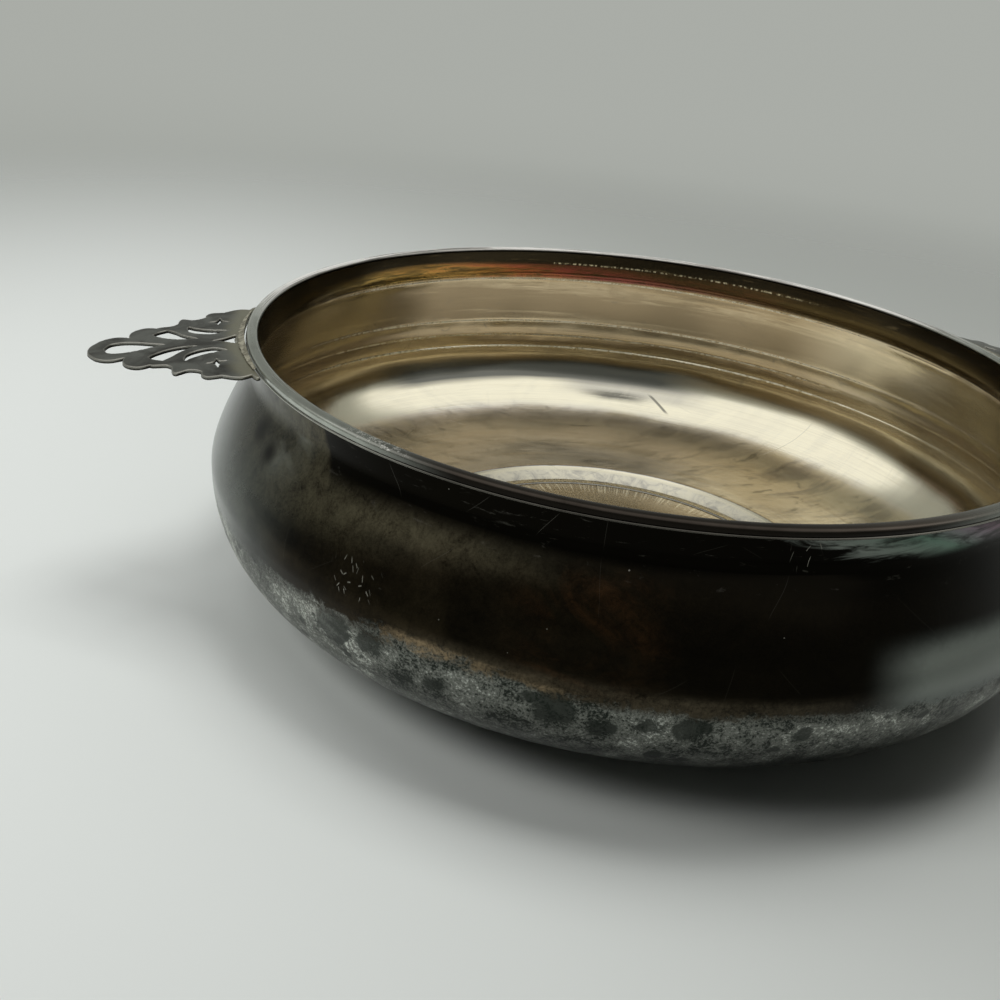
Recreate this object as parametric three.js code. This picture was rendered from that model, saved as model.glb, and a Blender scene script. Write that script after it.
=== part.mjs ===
// Two-handled serving bowl in tarnished silver plate.
// Millimetres, +Z up, origin on the table under the middle of the bowl.
// The handles point along +X and -X.

import * as THREE from 'three';

// Shell: one spun and stamped sheet, open at the top
const mouthRadius = 111;
const sheet = 1.2;
const bowlHeight = 74.6;
const collarBand = 5.2;
const collarBend = 3.6;
const shoulderSetback = 0.9;
const bellySwell = 12;
const bellyHeight = 37.7;
const shoulderTangent = 6.4;
const bellyFullness = 0.69;

// Base: a raised ring that the bowl stands on, round a slightly lifted disc
const standingRingRadius = 67.8;
const standingRingWidth = 3.2;
const stepRun = 5.4;
const stepHeight = 3.1;
const discLift = 0.7;
const discRise = 0.5;
const discStepRun = 1.2;

// Moulding: a half-round strip over the lip, with a fine wire along its lower edge
const mouldingWidth = 3.3;
const mouldingHeight = 2.6;
const mouldingCap = 1;
const crownInset = 1.2;
const wireHeight = 0.6;
const wireRelief = 0.25;

// Handles: pierced plates, butted against the side of the moulding and soldered on
const handleLength = 41.2;
const handleHalfWidth = 28.4;
const handleRootHalfWidth = 29.4;
const handleThickness = 1.05;
const handleDrop = 1.5;
const handleTipFall = 4.74;
const wingSag = 0.62;

// Solder: a fillet in the corner between each handle and the moulding
const filletWidth = 1.9;
const filletHeight = 0.9;
const filletEndWidth = 0.7;
const filletHalfAngle = THREE.MathUtils.degToRad(12.5);
const filletEndShare = 0.5;

// Hollow face of the fillet, as [share of the width, share of the height]
const filletHollow = [[1, 0.15], [0.4, 0.45], [0.15, 1]];

// Clearance between soldered pieces
const jointGap = 0.3;

// Facets
const turnSegments = 64;
const bellySegments = 10;
const shoulderSegments = 6;
const bendSegments = 3;
const mouldingSegments = 4;
const lobeSegments = 2;
const seatSegments = 20;
const filletSteps = 16;

const collarRadius = mouthRadius + sheet;
const bellyRadius = collarRadius + bellySwell;
const mouldingRadius = mouthRadius + mouldingWidth;
const mouldingUnderside = bowlHeight - mouldingHeight;
const lipHeight = bowlHeight - mouldingCap - jointGap;
const collarFoot = mouldingUnderside - collarBand;
const mouldingSeatRadius = collarRadius + jointGap;
const handleRootRadius = mouldingRadius + jointGap;

const finishes = {
  shell: { color: 0x4a443a, roughness: 0.34, metalness: 0.9 },
  moulding: { color: 0x6b665c, roughness: 0.38, metalness: 0.9 },
  handle: { color: 0x55544f, roughness: 0.55, metalness: 0.85 },
  solder: { color: 0x7d7767, roughness: 0.6, metalness: 0.8 },
};

function namedMesh(name, geometry, finish) {
  const mesh = new THREE.Mesh(geometry, new THREE.MeshStandardMaterial(finish));
  mesh.name = name;
  return mesh;
}

// A profile of (radius, height) points turned about +Z
function turned(profile) {
  const geometry = new THREE.LatheGeometry(profile, turnSegments);
  return geometry.rotateX(Math.PI / 2);
}

// Outside of the shell, from the middle of the base up to the lip
function shellOutside() {
  const bellyFootRadius = standingRingRadius + stepRun;
  const discRadius = standingRingRadius - standingRingWidth - discStepRun;
  const footTangent = bellyFullness * (bellyRadius - bellyFootRadius);
  const sideTangent = bellyFullness * (bellyHeight - stepHeight);
  const at = (radius, height) => new THREE.Vector2(radius, height);
  const belly = new THREE.CubicBezierCurve(
    at(bellyFootRadius, stepHeight),
    at(bellyFootRadius + footTangent, stepHeight),
    at(bellyRadius, bellyHeight - sideTangent),
    at(bellyRadius, bellyHeight),
  );
  const shoulder = new THREE.QuadraticBezierCurve(
    at(bellyRadius, bellyHeight),
    at(bellyRadius, bellyHeight + shoulderTangent),
    at(collarRadius + shoulderSetback, collarFoot - collarBend),
  );
  const bend = new THREE.QuadraticBezierCurve(
    at(collarRadius + shoulderSetback, collarFoot - collarBend),
    at(collarRadius, collarFoot - collarBend / 2),
    at(collarRadius, collarFoot),
  );
  return [
    at(0, discLift + discRise),
    at(discRadius, discLift),
    at(standingRingRadius - standingRingWidth, 0),
    at(standingRingRadius, 0),
    ...belly.getPoints(bellySegments),
    ...shoulder.getPoints(shoulderSegments).slice(1),
    ...bend.getPoints(bendSegments).slice(1),
    at(collarRadius, lipHeight),
  ];
}

// The same line, one wall thickness further in
function offsetInward(points, distance) {
  return points.map((point, index) => {
    const before = points[Math.max(index - 1, 0)];
    const after = points[Math.min(index + 1, points.length - 1)];
    const along = new THREE.Vector2().subVectors(after, before).normalize();
    const moved = new THREE.Vector2(-along.y, along.x).multiplyScalar(distance).add(point);
    return index === 0 ? moved.setX(0) : moved;
  });
}

function bowlBody() {
  const outside = shellOutside();
  const inside = offsetInward(outside, sheet).reverse();
  return namedMesh('bowl_body', turned([...outside, ...inside]), finishes.shell);
}

function rimMoulding() {
  const sideRadius = mouldingRadius - wireRelief;
  const sideTop = mouldingUnderside + mouldingHeight / 2 + wireHeight / 2;
  const section = new THREE.Path();
  section.moveTo(mouldingSeatRadius, mouldingUnderside);
  section.lineTo(sideRadius, mouldingUnderside);
  section.quadraticCurveTo(
    mouldingRadius + wireRelief, mouldingUnderside + wireHeight / 2,
    sideRadius, mouldingUnderside + wireHeight,
  );
  section.lineTo(sideRadius, sideTop);
  section.quadraticCurveTo(sideRadius, bowlHeight, mouthRadius + crownInset, bowlHeight);
  section.quadraticCurveTo(mouthRadius, bowlHeight, mouthRadius, lipHeight + jointGap);
  section.lineTo(mouldingSeatRadius, lipHeight + jointGap);
  section.closePath();
  return namedMesh('rim_moulding', turned(section.getPoints(mouldingSegments)), finishes.moulding);
}

// Half of the handle's edge, from the root to the tip. Each lobe is a smooth curve
// through [along, across] points, as shares of the handle's length and half width.
const edgeLobes = [
  [[-0.075, 1.045], [-0.056, 1.012], [-0.041, 0.961]],
  [[-0.017, 0.982], [0.024, 1], [0.074, 0.979], [0.138, 0.923]],
  [[0.17, 0.93], [0.218, 0.933], [0.249, 0.901], [0.263, 0.845], [0.259, 0.796]],
  [[0.297, 0.746], [0.347, 0.729], [0.39, 0.768], [0.419, 0.785], [0.439, 0.739], [0.448, 0.62]],
  [[0.477, 0.57], [0.52, 0.556], [0.563, 0.549], [0.583, 0.528]],
  [[0.63, 0.56], [0.673, 0.556], [0.721, 0.507], [0.751, 0.43], [0.757, 0.352], [0.751, 0.282]],
  [[0.779, 0.306], [0.832, 0.327], [0.89, 0.303], [0.938, 0.243]],
  [[0.968, 0.169], [0.993, 0.088], [1, 0]],
];

// Openings that cross the middle line, as half outlines from point to base
const middleOpenings = [
  [[0.513, 0], [0.596, 0.056], [0.693, 0.123], [0.789, 0.155], [0.863, 0.12], [0.895, 0]],
  [[0.205, 0], [0.128, 0.048], [0.054, 0.116], [0.063, 0]],
];

// Openings that stand in pairs, each as smooth sides that meet in sharp corners
const pairedOpenings = [
  {
    start: [0.6, 0.324],
    sides: [
      [[0.566, 0.394], [0.508, 0.447]],
      [[0.456, 0.359], [0.398, 0.236], [0.304, 0.106]],
      [[0.4, 0.113], [0.489, 0.162], [0.561, 0.246], [0.6, 0.324]],
    ],
  },
  {
    start: [0.374, 0.444],
    sides: [
      [[0.366, 0.496], [0.338, 0.451], [0.285, 0.394], [0.23, 0.349], [0.11, 0.289]],
      [[0.184, 0.211], [0.244, 0.215], [0.304, 0.254], [0.359, 0.331], [0.374, 0.444]],
    ],
  },
  {
    start: [0.235, 0.609],
    sides: [
      [[0.182, 0.636], [0.162, 0.725]],
      [[0.151, 0.638], [0.102, 0.57]],
      [[0.155, 0.571], [0.175, 0.507]],
      [[0.187, 0.576], [0.235, 0.609]],
    ],
  },
];

function handlePoint([along, across]) {
  return new THREE.Vector2(handleRootRadius + along * handleLength, across * handleHalfWidth);
}

// Smooth sides joined end to end, starting at a given point
function curvedLine(start, sides) {
  const line = new THREE.Path();
  line.moveTo(start.x, start.y);
  for (const side of sides) line.splineThru(side.map(handlePoint));
  return line.getPoints(lobeSegments);
}

function mirrored(points) {
  return points.map((point) => new THREE.Vector2(point.x, -point.y));
}

function handleShape() {
  const rootAngle = Math.asin(handleRootHalfWidth / handleRootRadius);
  const root = new THREE.Vector2(
    handleRootRadius * Math.cos(rootAngle),
    handleRootRadius * Math.sin(rootAngle),
  );
  const upper = curvedLine(root, edgeLobes);
  const rootArc = new THREE.Path().absarc(0, 0, handleRootRadius, rootAngle, -rootAngle, true);
  const seat = rootArc.getPoints(seatSegments).slice(1, -1);
  const shape = new THREE.Shape([...mirrored(upper), ...upper.toReversed().slice(1), ...seat]);

  for (const [point, ...side] of middleOpenings) {
    const half = curvedLine(handlePoint(point), [side]);
    shape.holes.push(new THREE.Path([...half, ...mirrored(half).slice(1, -1).reverse()]));
  }
  for (const { start, sides } of pairedOpenings) {
    const opening = curvedLine(handlePoint(start), sides).slice(0, -1);
    shape.holes.push(new THREE.Path(opening), new THREE.Path(mirrored(opening)));
  }
  return shape;
}

// Height of the handle's top face: it falls away outwards and towards both wings
function handleTop(along, across) {
  const root = bowlHeight - handleDrop;
  const fall = handleTipFall * ((along - handleRootRadius) / handleLength);
  return root - fall - wingSag * (across / handleHalfWidth) ** 2;
}

function handlePlate() {
  const plate = new THREE.ExtrudeGeometry(handleShape(), {
    depth: handleThickness,
    bevelEnabled: false,
  });
  const position = plate.attributes.position;
  for (let i = 0; i < position.count; i += 1) {
    const top = handleTop(position.getX(i), position.getY(i));
    position.setZ(i, top - handleThickness + position.getZ(i));
  }
  return plate;
}

// A closed body through matching sections, with flat ends
function sweptBody(sections) {
  const size = sections[0].length;
  const last = sections.length - 1;
  const indices = [];
  for (let i = 0; i < last; i += 1) {
    for (let j = 0; j < size; j += 1) {
      const k = (j + 1) % size;
      const [a, b, c, d] = [i * size + j, i * size + k, (i + 1) * size + k, (i + 1) * size + j];
      indices.push(a, c, b, a, d, c);
    }
  }
  for (let j = 1; j < size - 1; j += 1) {
    indices.push(0, j, j + 1);
    indices.push(last * size, last * size + j + 1, last * size + j);
  }
  const geometry = new THREE.BufferGeometry().setFromPoints(sections.flat());
  geometry.setIndex(indices);
  return geometry;
}

// Fillet section at one angle round the bowl, narrowing towards both ends
function filletSection(angle) {
  const share = Math.cos((angle / filletHalfAngle) * (Math.PI / 2));
  const width = THREE.MathUtils.lerp(filletEndWidth, filletWidth, share);
  const height = filletHeight * THREE.MathUtils.lerp(filletEndShare, 1, share);
  const inner = mouldingRadius + jointGap;
  const at = (radius, lift) => {
    const [x, y] = [radius * Math.cos(angle), radius * Math.sin(angle)];
    return new THREE.Vector3(x, y, handleTop(x, y) + jointGap + lift);
  };
  return [
    at(inner, 0),
    at(inner + width, 0),
    ...filletHollow.map(([out, up]) => at(inner + width * out, height * up)),
    at(inner, height),
  ];
}

function solderFillet() {
  const sections = [];
  for (let i = 0; i <= filletSteps; i += 1) {
    sections.push(filletSection(filletHalfAngle * ((2 * i) / filletSteps - 1)));
  }
  return sweptBody(sections);
}

// One handle with its solder, turned about the bowl's axis to its side
function handleAssembly(side, turn) {
  const group = new THREE.Group();
  group.add(namedMesh(`${side}_handle`, handlePlate(), finishes.handle));
  group.add(namedMesh(`${side}_handle_solder`, solderFillet(), finishes.solder));
  group.rotation.z = turn;
  return group;
}

const servingBowl = new THREE.Group();
servingBowl.add(bowlBody());
servingBowl.add(rimMoulding());
servingBowl.add(handleAssembly('right', 0));
servingBowl.add(handleAssembly('left', Math.PI));

export default servingBowl;
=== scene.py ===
"""Looks of a two-handled serving bowl in tarnished silver plate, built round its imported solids.

Lengths in the classes are in millimetres and become metres where a mesh is made, apart from those of
the studio, which are in metres.
"""

import logging
import math
from dataclasses import dataclass
from enum import Enum
from functools import reduce
from typing import Any, Iterable, Sequence

import bpy
import numpy as np
from mathutils import Matrix, Vector
from mathutils.geometry import delaunay_2d_cdt


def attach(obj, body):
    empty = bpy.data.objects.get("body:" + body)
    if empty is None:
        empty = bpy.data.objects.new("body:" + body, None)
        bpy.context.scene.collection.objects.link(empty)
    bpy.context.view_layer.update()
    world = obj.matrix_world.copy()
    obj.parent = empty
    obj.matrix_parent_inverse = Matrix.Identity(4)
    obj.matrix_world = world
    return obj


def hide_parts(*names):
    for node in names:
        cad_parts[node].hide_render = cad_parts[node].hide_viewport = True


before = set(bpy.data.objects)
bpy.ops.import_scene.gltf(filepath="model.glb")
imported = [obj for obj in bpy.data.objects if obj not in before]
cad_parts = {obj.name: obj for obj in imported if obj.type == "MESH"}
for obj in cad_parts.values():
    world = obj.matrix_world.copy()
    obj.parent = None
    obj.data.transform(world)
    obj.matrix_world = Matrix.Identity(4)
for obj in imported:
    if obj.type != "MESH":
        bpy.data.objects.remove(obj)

MILLIMETRE = 0.001
BODY = "root"

Colour = tuple[float, float, float]
Triple = tuple[float, float, float]
Strokes = tuple[float, float, float, float]
Spot = tuple[float, float, float, float, float]
Stops = Sequence[tuple[float, Colour]]
Layer = tuple[Any, Any]
Pairs = list[tuple[int, int]]
Profile = np.ndarray

log = logging.getLogger("serving_bowl")


# Curves and profiles


def bezier(controls: Sequence[Sequence[float]], steps: int) -> np.ndarray:
    """Samples a quadratic or cubic curve.

    Args:
        controls: Three or four control points.
        steps: Number of stretches between the samples.

    Returns:
        The samples, one row each, both ends included.
    """
    points = np.array(controls, float)
    share = np.linspace(0.0, 1.0, steps + 1)[:, None]
    degree = len(points) - 1
    weights = [math.comb(degree, k) * share**k * (1 - share) ** (degree - k) for k in range(degree + 1)]
    return sum(weight * point for weight, point in zip(weights, points))


def eased_corners(points: np.ndarray, radius: float, steps: int = 4) -> np.ndarray:
    """Rounds every corner of an open line.

    Args:
        points: Corners of the line, ends included.
        radius: Distance from a corner at which its rounding starts.
        steps: Stretches in each rounding.

    Returns:
        The line with a short curve in place of each inner corner.
    """
    line = [points[:1]]
    for before, corner, after in zip(points[:-2], points[1:-1], points[2:]):
        reach = [min(radius, 0.45 * np.linalg.norm(other - corner)) for other in (before, after)]
        entry, leave = (
            corner + (other - corner) / np.linalg.norm(other - corner) * far
            for other, far in zip((before, after), reach)
        )
        line.append(bezier([entry, corner, leave], steps))
    line.append(points[-1:])
    return np.vstack(line)


def normals_along(line: np.ndarray) -> np.ndarray:
    """Unit normals to the left of an open line.

    Args:
        line: Points of the line, one row each.

    Returns:
        One normal for each point.
    """
    along = np.gradient(line, axis=0)
    along /= np.linalg.norm(along, axis=1)[:, None]
    return np.stack([-along[:, 1], along[:, 0]], axis=1)


def smooth_share(values: np.ndarray, low: float, high: float) -> np.ndarray:
    """Eased share of the way from low to high, from 0 to 1."""
    share = np.clip((values - low) / (high - low), 0.0, 1.0)
    return share * share * (3 - 2 * share)


def ripple(turn: np.ndarray, height: np.ndarray, seed: int, terms: int = 14) -> np.ndarray:
    """Slow unevenness of hand-worked metal, the same at each end of a full turn.

    Args:
        turn: Angles round the bowl's axis, in radians.
        height: Distances along the metal, in millimetres.
        seed: Start of the random draws.
        terms: Number of waves that are added.

    Returns:
        Values between about -1 and 1.
    """
    draw = np.random.default_rng(seed)
    total = np.zeros(np.broadcast(turn, height).shape)
    for _ in range(terms):
        waves = draw.integers(1, 9)
        pitch = draw.uniform(0.02, 0.11)
        total = total + np.cos(waves * turn + pitch * height + draw.uniform(0, 2 * math.pi))
    return total / math.sqrt(terms) / 1.5


# Meshes


def new_object(name: str, vertices: np.ndarray, faces: Iterable[Sequence[int]]) -> bpy.types.Object:
    """Makes a mesh object from points in millimetres and links it to the scene.

    Args:
        name: Name of the piece.
        vertices: Points in millimetres, one row each.
        faces: Vertex numbers of each face.

    Returns:
        The new object, shaded smooth.
    """
    mesh = bpy.data.meshes.new(name)
    mesh.from_pydata((np.asarray(vertices) * MILLIMETRE).tolist(), [], [list(face) for face in faces])
    mesh.validate()
    mesh.shade_smooth()
    piece = bpy.data.objects.new(name, mesh)
    bpy.context.scene.collection.objects.link(piece)
    return piece


def turned_faces(rows: int, columns: int, closed: bool) -> list[tuple[int, ...]]:
    """Faces between the rows of a turned mesh, whose rows run round the axis.

    Args:
        rows: Number of rings of points.
        columns: Number of points in a ring.
        closed: Whether the last ring joins the first.

    Returns:
        Vertex numbers of each four-sided face.
    """
    faces = []
    for row in range(rows if closed else rows - 1):
        above = (row + 1) % rows
        for column in range(columns):
            beside = (column + 1) % columns
            faces.append((
                row * columns + column,
                row * columns + beside,
                above * columns + beside,
                above * columns + column,
            ))
    return faces


def turned_points(profile: Profile, columns: int) -> np.ndarray:
    """Turns a profile about the bowl's axis.

    Args:
        profile: Rows of (radius, height).
        columns: Number of points in a ring.

    Returns:
        The rings' points, one row each.
    """
    turn = np.arange(columns) * (2 * math.pi / columns)
    radius, height = profile[:, :1], profile[:, 1:]
    across = np.stack([radius * np.cos(turn), radius * np.sin(turn), height + 0 * turn], axis=2)
    return across.reshape(-1, 3)


def sharpen(piece: bpy.types.Object, degrees: float) -> None:
    """Keeps edges crisp where faces meet at more than an angle."""
    piece.data.set_sharp_from_angle(angle=math.radians(degrees))


def set_attribute(piece: bpy.types.Object, name: str, values: np.ndarray) -> None:
    """Stores one number for each point of a piece, for its material to read."""
    layer = piece.data.attributes.new(name, "FLOAT", "POINT")
    layer.data.foreach_set("value", np.asarray(values, np.float32))


# Material graphs


class Signal:
    """An output of a material's graph that takes part in arithmetic."""

    def __init__(self, graph: "Graph", socket: bpy.types.NodeSocket) -> None:
        """Wraps one output socket of a graph."""
        self.graph = graph
        self.socket = socket

    def _with(self, operation: str, *values: Any) -> "Signal":
        """Adds a Math node that works on this value and others."""
        sockets = {("Value", "Value_001", "Value_002")[i]: value for i, value in enumerate(values)}
        return self.graph.add("ShaderNodeMath", {"operation": operation}, sockets)

    def __add__(self, other: Any) -> "Signal":
        """This value plus another."""
        return self._with("ADD", self, other)

    __radd__ = __add__

    def __sub__(self, other: Any) -> "Signal":
        """This value minus another."""
        return self._with("SUBTRACT", self, other)

    def __rsub__(self, other: Any) -> "Signal":
        """Another value minus this one."""
        return self._with("SUBTRACT", other, self)

    def __mul__(self, other: Any) -> "Signal":
        """This value times another."""
        return self._with("MULTIPLY", self, other)

    __rmul__ = __mul__

    def __truediv__(self, other: Any) -> "Signal":
        """This value divided by another."""
        return self._with("DIVIDE", self, other)

    def __abs__(self) -> "Signal":
        """This value without its sign."""
        return self._with("ABSOLUTE", self)

    def __pow__(self, power: Any) -> "Signal":
        """This value raised to a power."""
        return self._with("POWER", self, power)

    def max(self, *others: Any) -> "Signal":
        """The largest of this value and others."""
        return reduce(lambda most, other: most._with("MAXIMUM", most, other), others, self)

    def cosine(self) -> "Signal":
        """Cosine of this value, in radians."""
        return self._with("COSINE", self)

    def sine(self) -> "Signal":
        """Sine of this value, in radians."""
        return self._with("SINE", self)

    def beside(self, output: str) -> "Signal":
        """Another output of the same node."""
        outputs = self.socket.node.outputs
        return Signal(self.graph, next(socket for socket in outputs if socket.name == output))

    def split(self) -> tuple["Signal", "Signal", "Signal"]:
        """The three parts of a vector or colour."""
        first = self.graph.add("ShaderNodeSeparateXYZ", None, {"Vector": self}, "X")
        return first, first.beside("Y"), first.beside("Z")

    def rise(self, low: float, high: float) -> "Signal":
        """Eased share of the way from one value to another.

        Args:
            low: Value at which the share is 0.
            high: Value at which it is 1, which may also be the smaller one.

        Returns:
            The share, from 0 to 1.
        """
        settings = {"interpolation_type": "SMOOTHSTEP"}
        sockets = {"Value": self, "From Min": low, "From Max": high}
        if low > high:
            sockets = {"Value": self, "From Min": high, "From Max": low, "To Min": 1.0, "To Max": 0.0}
        return self.graph.add("ShaderNodeMapRange", settings, sockets)

    def band(self, middle: float, half: float, edge: float) -> "Signal":
        """1 within half of middle, easing to 0 over a further edge."""
        return abs(self - middle).rise(half + edge, half)


class Graph:
    """The nodes of one material or of the world."""

    def __init__(self, owner: bpy.types.Material | bpy.types.World) -> None:
        """Starts from the nodes that a new material or world has.

        Args:
            owner: The material or world.
        """
        owner.use_nodes = True
        self.owner = owner
        self.tree = owner.node_tree

    @classmethod
    def of_material(cls, name: str) -> "Graph":
        """The graph of a new material."""
        return cls(bpy.data.materials.new(name))

    def output(self, node: str, socket: str) -> "Signal":
        """An output of a node that the graph started with."""
        return Signal(self, self.tree.nodes[node].outputs[socket])

    @staticmethod
    def _socket(sockets: Any, key: str) -> bpy.types.NodeSocket:
        """Finds a socket that is in use.

        Args:
            sockets: Inputs or outputs of a node.
            key: Identifier of the socket, or else its name.

        Returns:
            The socket.
        """
        for socket in sockets:
            if socket.identifier == key and socket.enabled:
                return socket
        return next(socket for socket in sockets if socket.name == key and socket.enabled)

    def connect(self, socket: bpy.types.NodeSocket, value: Any) -> None:
        """Links a signal to a socket, or sets a plain value on it.

        Args:
            socket: Input socket.
            value: A signal, a number, a colour or a vector.
        """
        if isinstance(value, Signal):
            self.tree.links.new(value.socket, socket)
        elif socket.type == "RGBA" and len(value) == 3:
            socket.default_value = (*value, 1.0)
        else:
            socket.default_value = value

    def add(
        self,
        kind: str,
        settings: dict[str, Any] | None = None,
        sockets: dict[str, Any] | None = None,
        output: str | None = None,
    ) -> Signal:
        """Adds one node.

        Args:
            kind: Type of the node.
            settings: Its properties, and "stops" for a ramp as (place, colour) pairs.
            sockets: Values or signals for its inputs, by identifier or name.
            output: Output to return, or the first one in use.

        Returns:
            The chosen output.
        """
        node = self.tree.nodes.new(kind)
        for name, value in (settings or {}).items():
            if name == "stops":
                self._set_stops(node.color_ramp.elements, value)
            else:
                setattr(node, name, value)
        for name, value in (sockets or {}).items():
            self.connect(self._socket(node.inputs, name), value)
        if output is None:
            return Signal(self, next(socket for socket in node.outputs if socket.enabled))
        return Signal(self, self._socket(node.outputs, output))

    @staticmethod
    def _set_stops(elements: Any, stops: Stops) -> None:
        """Gives a ramp its stops.

        Args:
            elements: Stops of the ramp, two at first.
            stops: Place and colour of each stop.
        """
        while len(elements) < len(stops):
            elements.new(1.0)
        for element, (place, colour) in zip(elements, stops):
            element.position = place
            element.color = (*colour, 1.0)

    def blend(self, share: Any, first: Any, second: Any) -> Signal:
        """Mixes two colours.

        Args:
            share: Share of the second colour, from 0 to 1.
            first: Colour where the share is 0.
            second: Colour where the share is 1.

        Returns:
            The mixed colour.
        """
        settings = {"data_type": "RGBA", "clamp_factor": True}
        sockets = {"Factor_Float": share, "A_Color": first, "B_Color": second}
        return self.add("ShaderNodeMix", settings, sockets, "Result_Color")

    def layers(self, ground: Any, *coats: Layer) -> Any:
        """Lays colours over a ground, each by its share.

        Args:
            ground: Colour to start from.
            coats: Share and colour of each layer, from the lowest.

        Returns:
            The colour that shows.
        """
        for share, colour in coats:
            ground = self.blend(share, ground, colour)
        return ground

    def ramp(self, value: Signal, stops: Stops) -> Signal:
        """Turns a value into a colour along a ramp of (place, colour) stops."""
        return self.add("ShaderNodeValToRGB", {"stops": stops}, {"Fac": value}, "Color")

    def vector(self, x: Any, y: Any, z: Any) -> Signal:
        """Joins three values into a vector."""
        return self.add("ShaderNodeCombineXYZ", None, {"X": x, "Y": y, "Z": z})

    def noise(
        self, where: Signal, scale: float, detail: float = 3.0, warp: float = 0.0, rough: float = 0.55
    ) -> Signal:
        """Smooth noise between 0 and 1, around 0.5.

        Args:
            where: Coordinates.
            scale: Number of waves over one unit of the coordinates.
            detail: Number of finer layers.
            warp: How much the pattern is twisted.
            rough: Strength of the finer layers.

        Returns:
            The noise.
        """
        sockets = {"Vector": where, "Scale": scale, "Detail": detail, "Roughness": rough, "Distortion": warp}
        return self.add("ShaderNodeTexNoise", {"normalize": True}, sockets, "Fac")

    def spots(self, where: Signal, pitch: float, flat: bool = False) -> Signal:
        """Distance to scattered points, in pitches.

        Args:
            where: Coordinates.
            pitch: Usual distance between the points.
            flat: Whether the points lie in a plane instead of in space.

        Returns:
            The distance. The outputs beside it give the nearest point and its random colour.
        """
        settings = {"voronoi_dimensions": "2D" if flat else "3D", "feature": "F1"}
        return self.add("ShaderNodeTexVoronoi", settings, {"Vector": where, "Scale": 1 / pitch}, "Distance")

    def strokes(
        self, across: Signal, up: Signal, pitch: float, half: float, width: float, share: float
    ) -> Signal:
        """Fine straight marks, one at most near each scattered point and each lying its own way.

        Args:
            across: Distance along the metal one way.
            up: Distance along it the other way.
            pitch: Usual distance between the marks.
            half: Half of a mark's length.
            width: Half of its width.
            share: Share of the points that have a mark.

        Returns:
            1 in the middle of a mark, easing to 0.
        """
        where = self.vector(across, up, 0.0)
        cell = self.spots(where, pitch, flat=True)
        draw, chance, strength = cell.beside("Color").split()
        sockets = {"Vector": where, "Vector_001": cell.beside("Position")}
        x, y, _ = self.add("ShaderNodeVectorMath", {"operation": "SUBTRACT"}, sockets).split()
        angle = draw * (2 * math.pi)
        cosine, sine = angle.cosine(), angle.sine()
        along, side = x * cosine + y * sine, y * cosine - x * sine
        line = abs(side).rise(width, 0.0) * abs(along).rise(half, half * 0.5)
        return line * chance.rise(share + 0.01, share - 0.01) * (strength * 0.7 + 0.3)

    def finish(
        self, colour: Any, rough: Any, metal: Any, relief: Sequence[tuple[Signal, float]] = ()
    ) -> bpy.types.Material:
        """Sets the shader.

        Args:
            colour: Base colour.
            rough: Roughness.
            metal: Metallic share.
            relief: Height signals in millimetres, each with its strength.

        Returns:
            The finished material.
        """
        shader = self.tree.nodes["Principled BSDF"]
        for name, value in (("Base Color", colour), ("Roughness", rough), ("Metallic", metal)):
            self.connect(shader.inputs[name], value)
        if relief:
            height = sum((signal * share for signal, share in relief[1:]), relief[0][0] * relief[0][1])
            bump = self.add("ShaderNodeBump", None, {"Height": height, "Distance": MILLIMETRE})
            self.connect(shader.inputs["Normal"], bump)
        return self.owner


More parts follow.
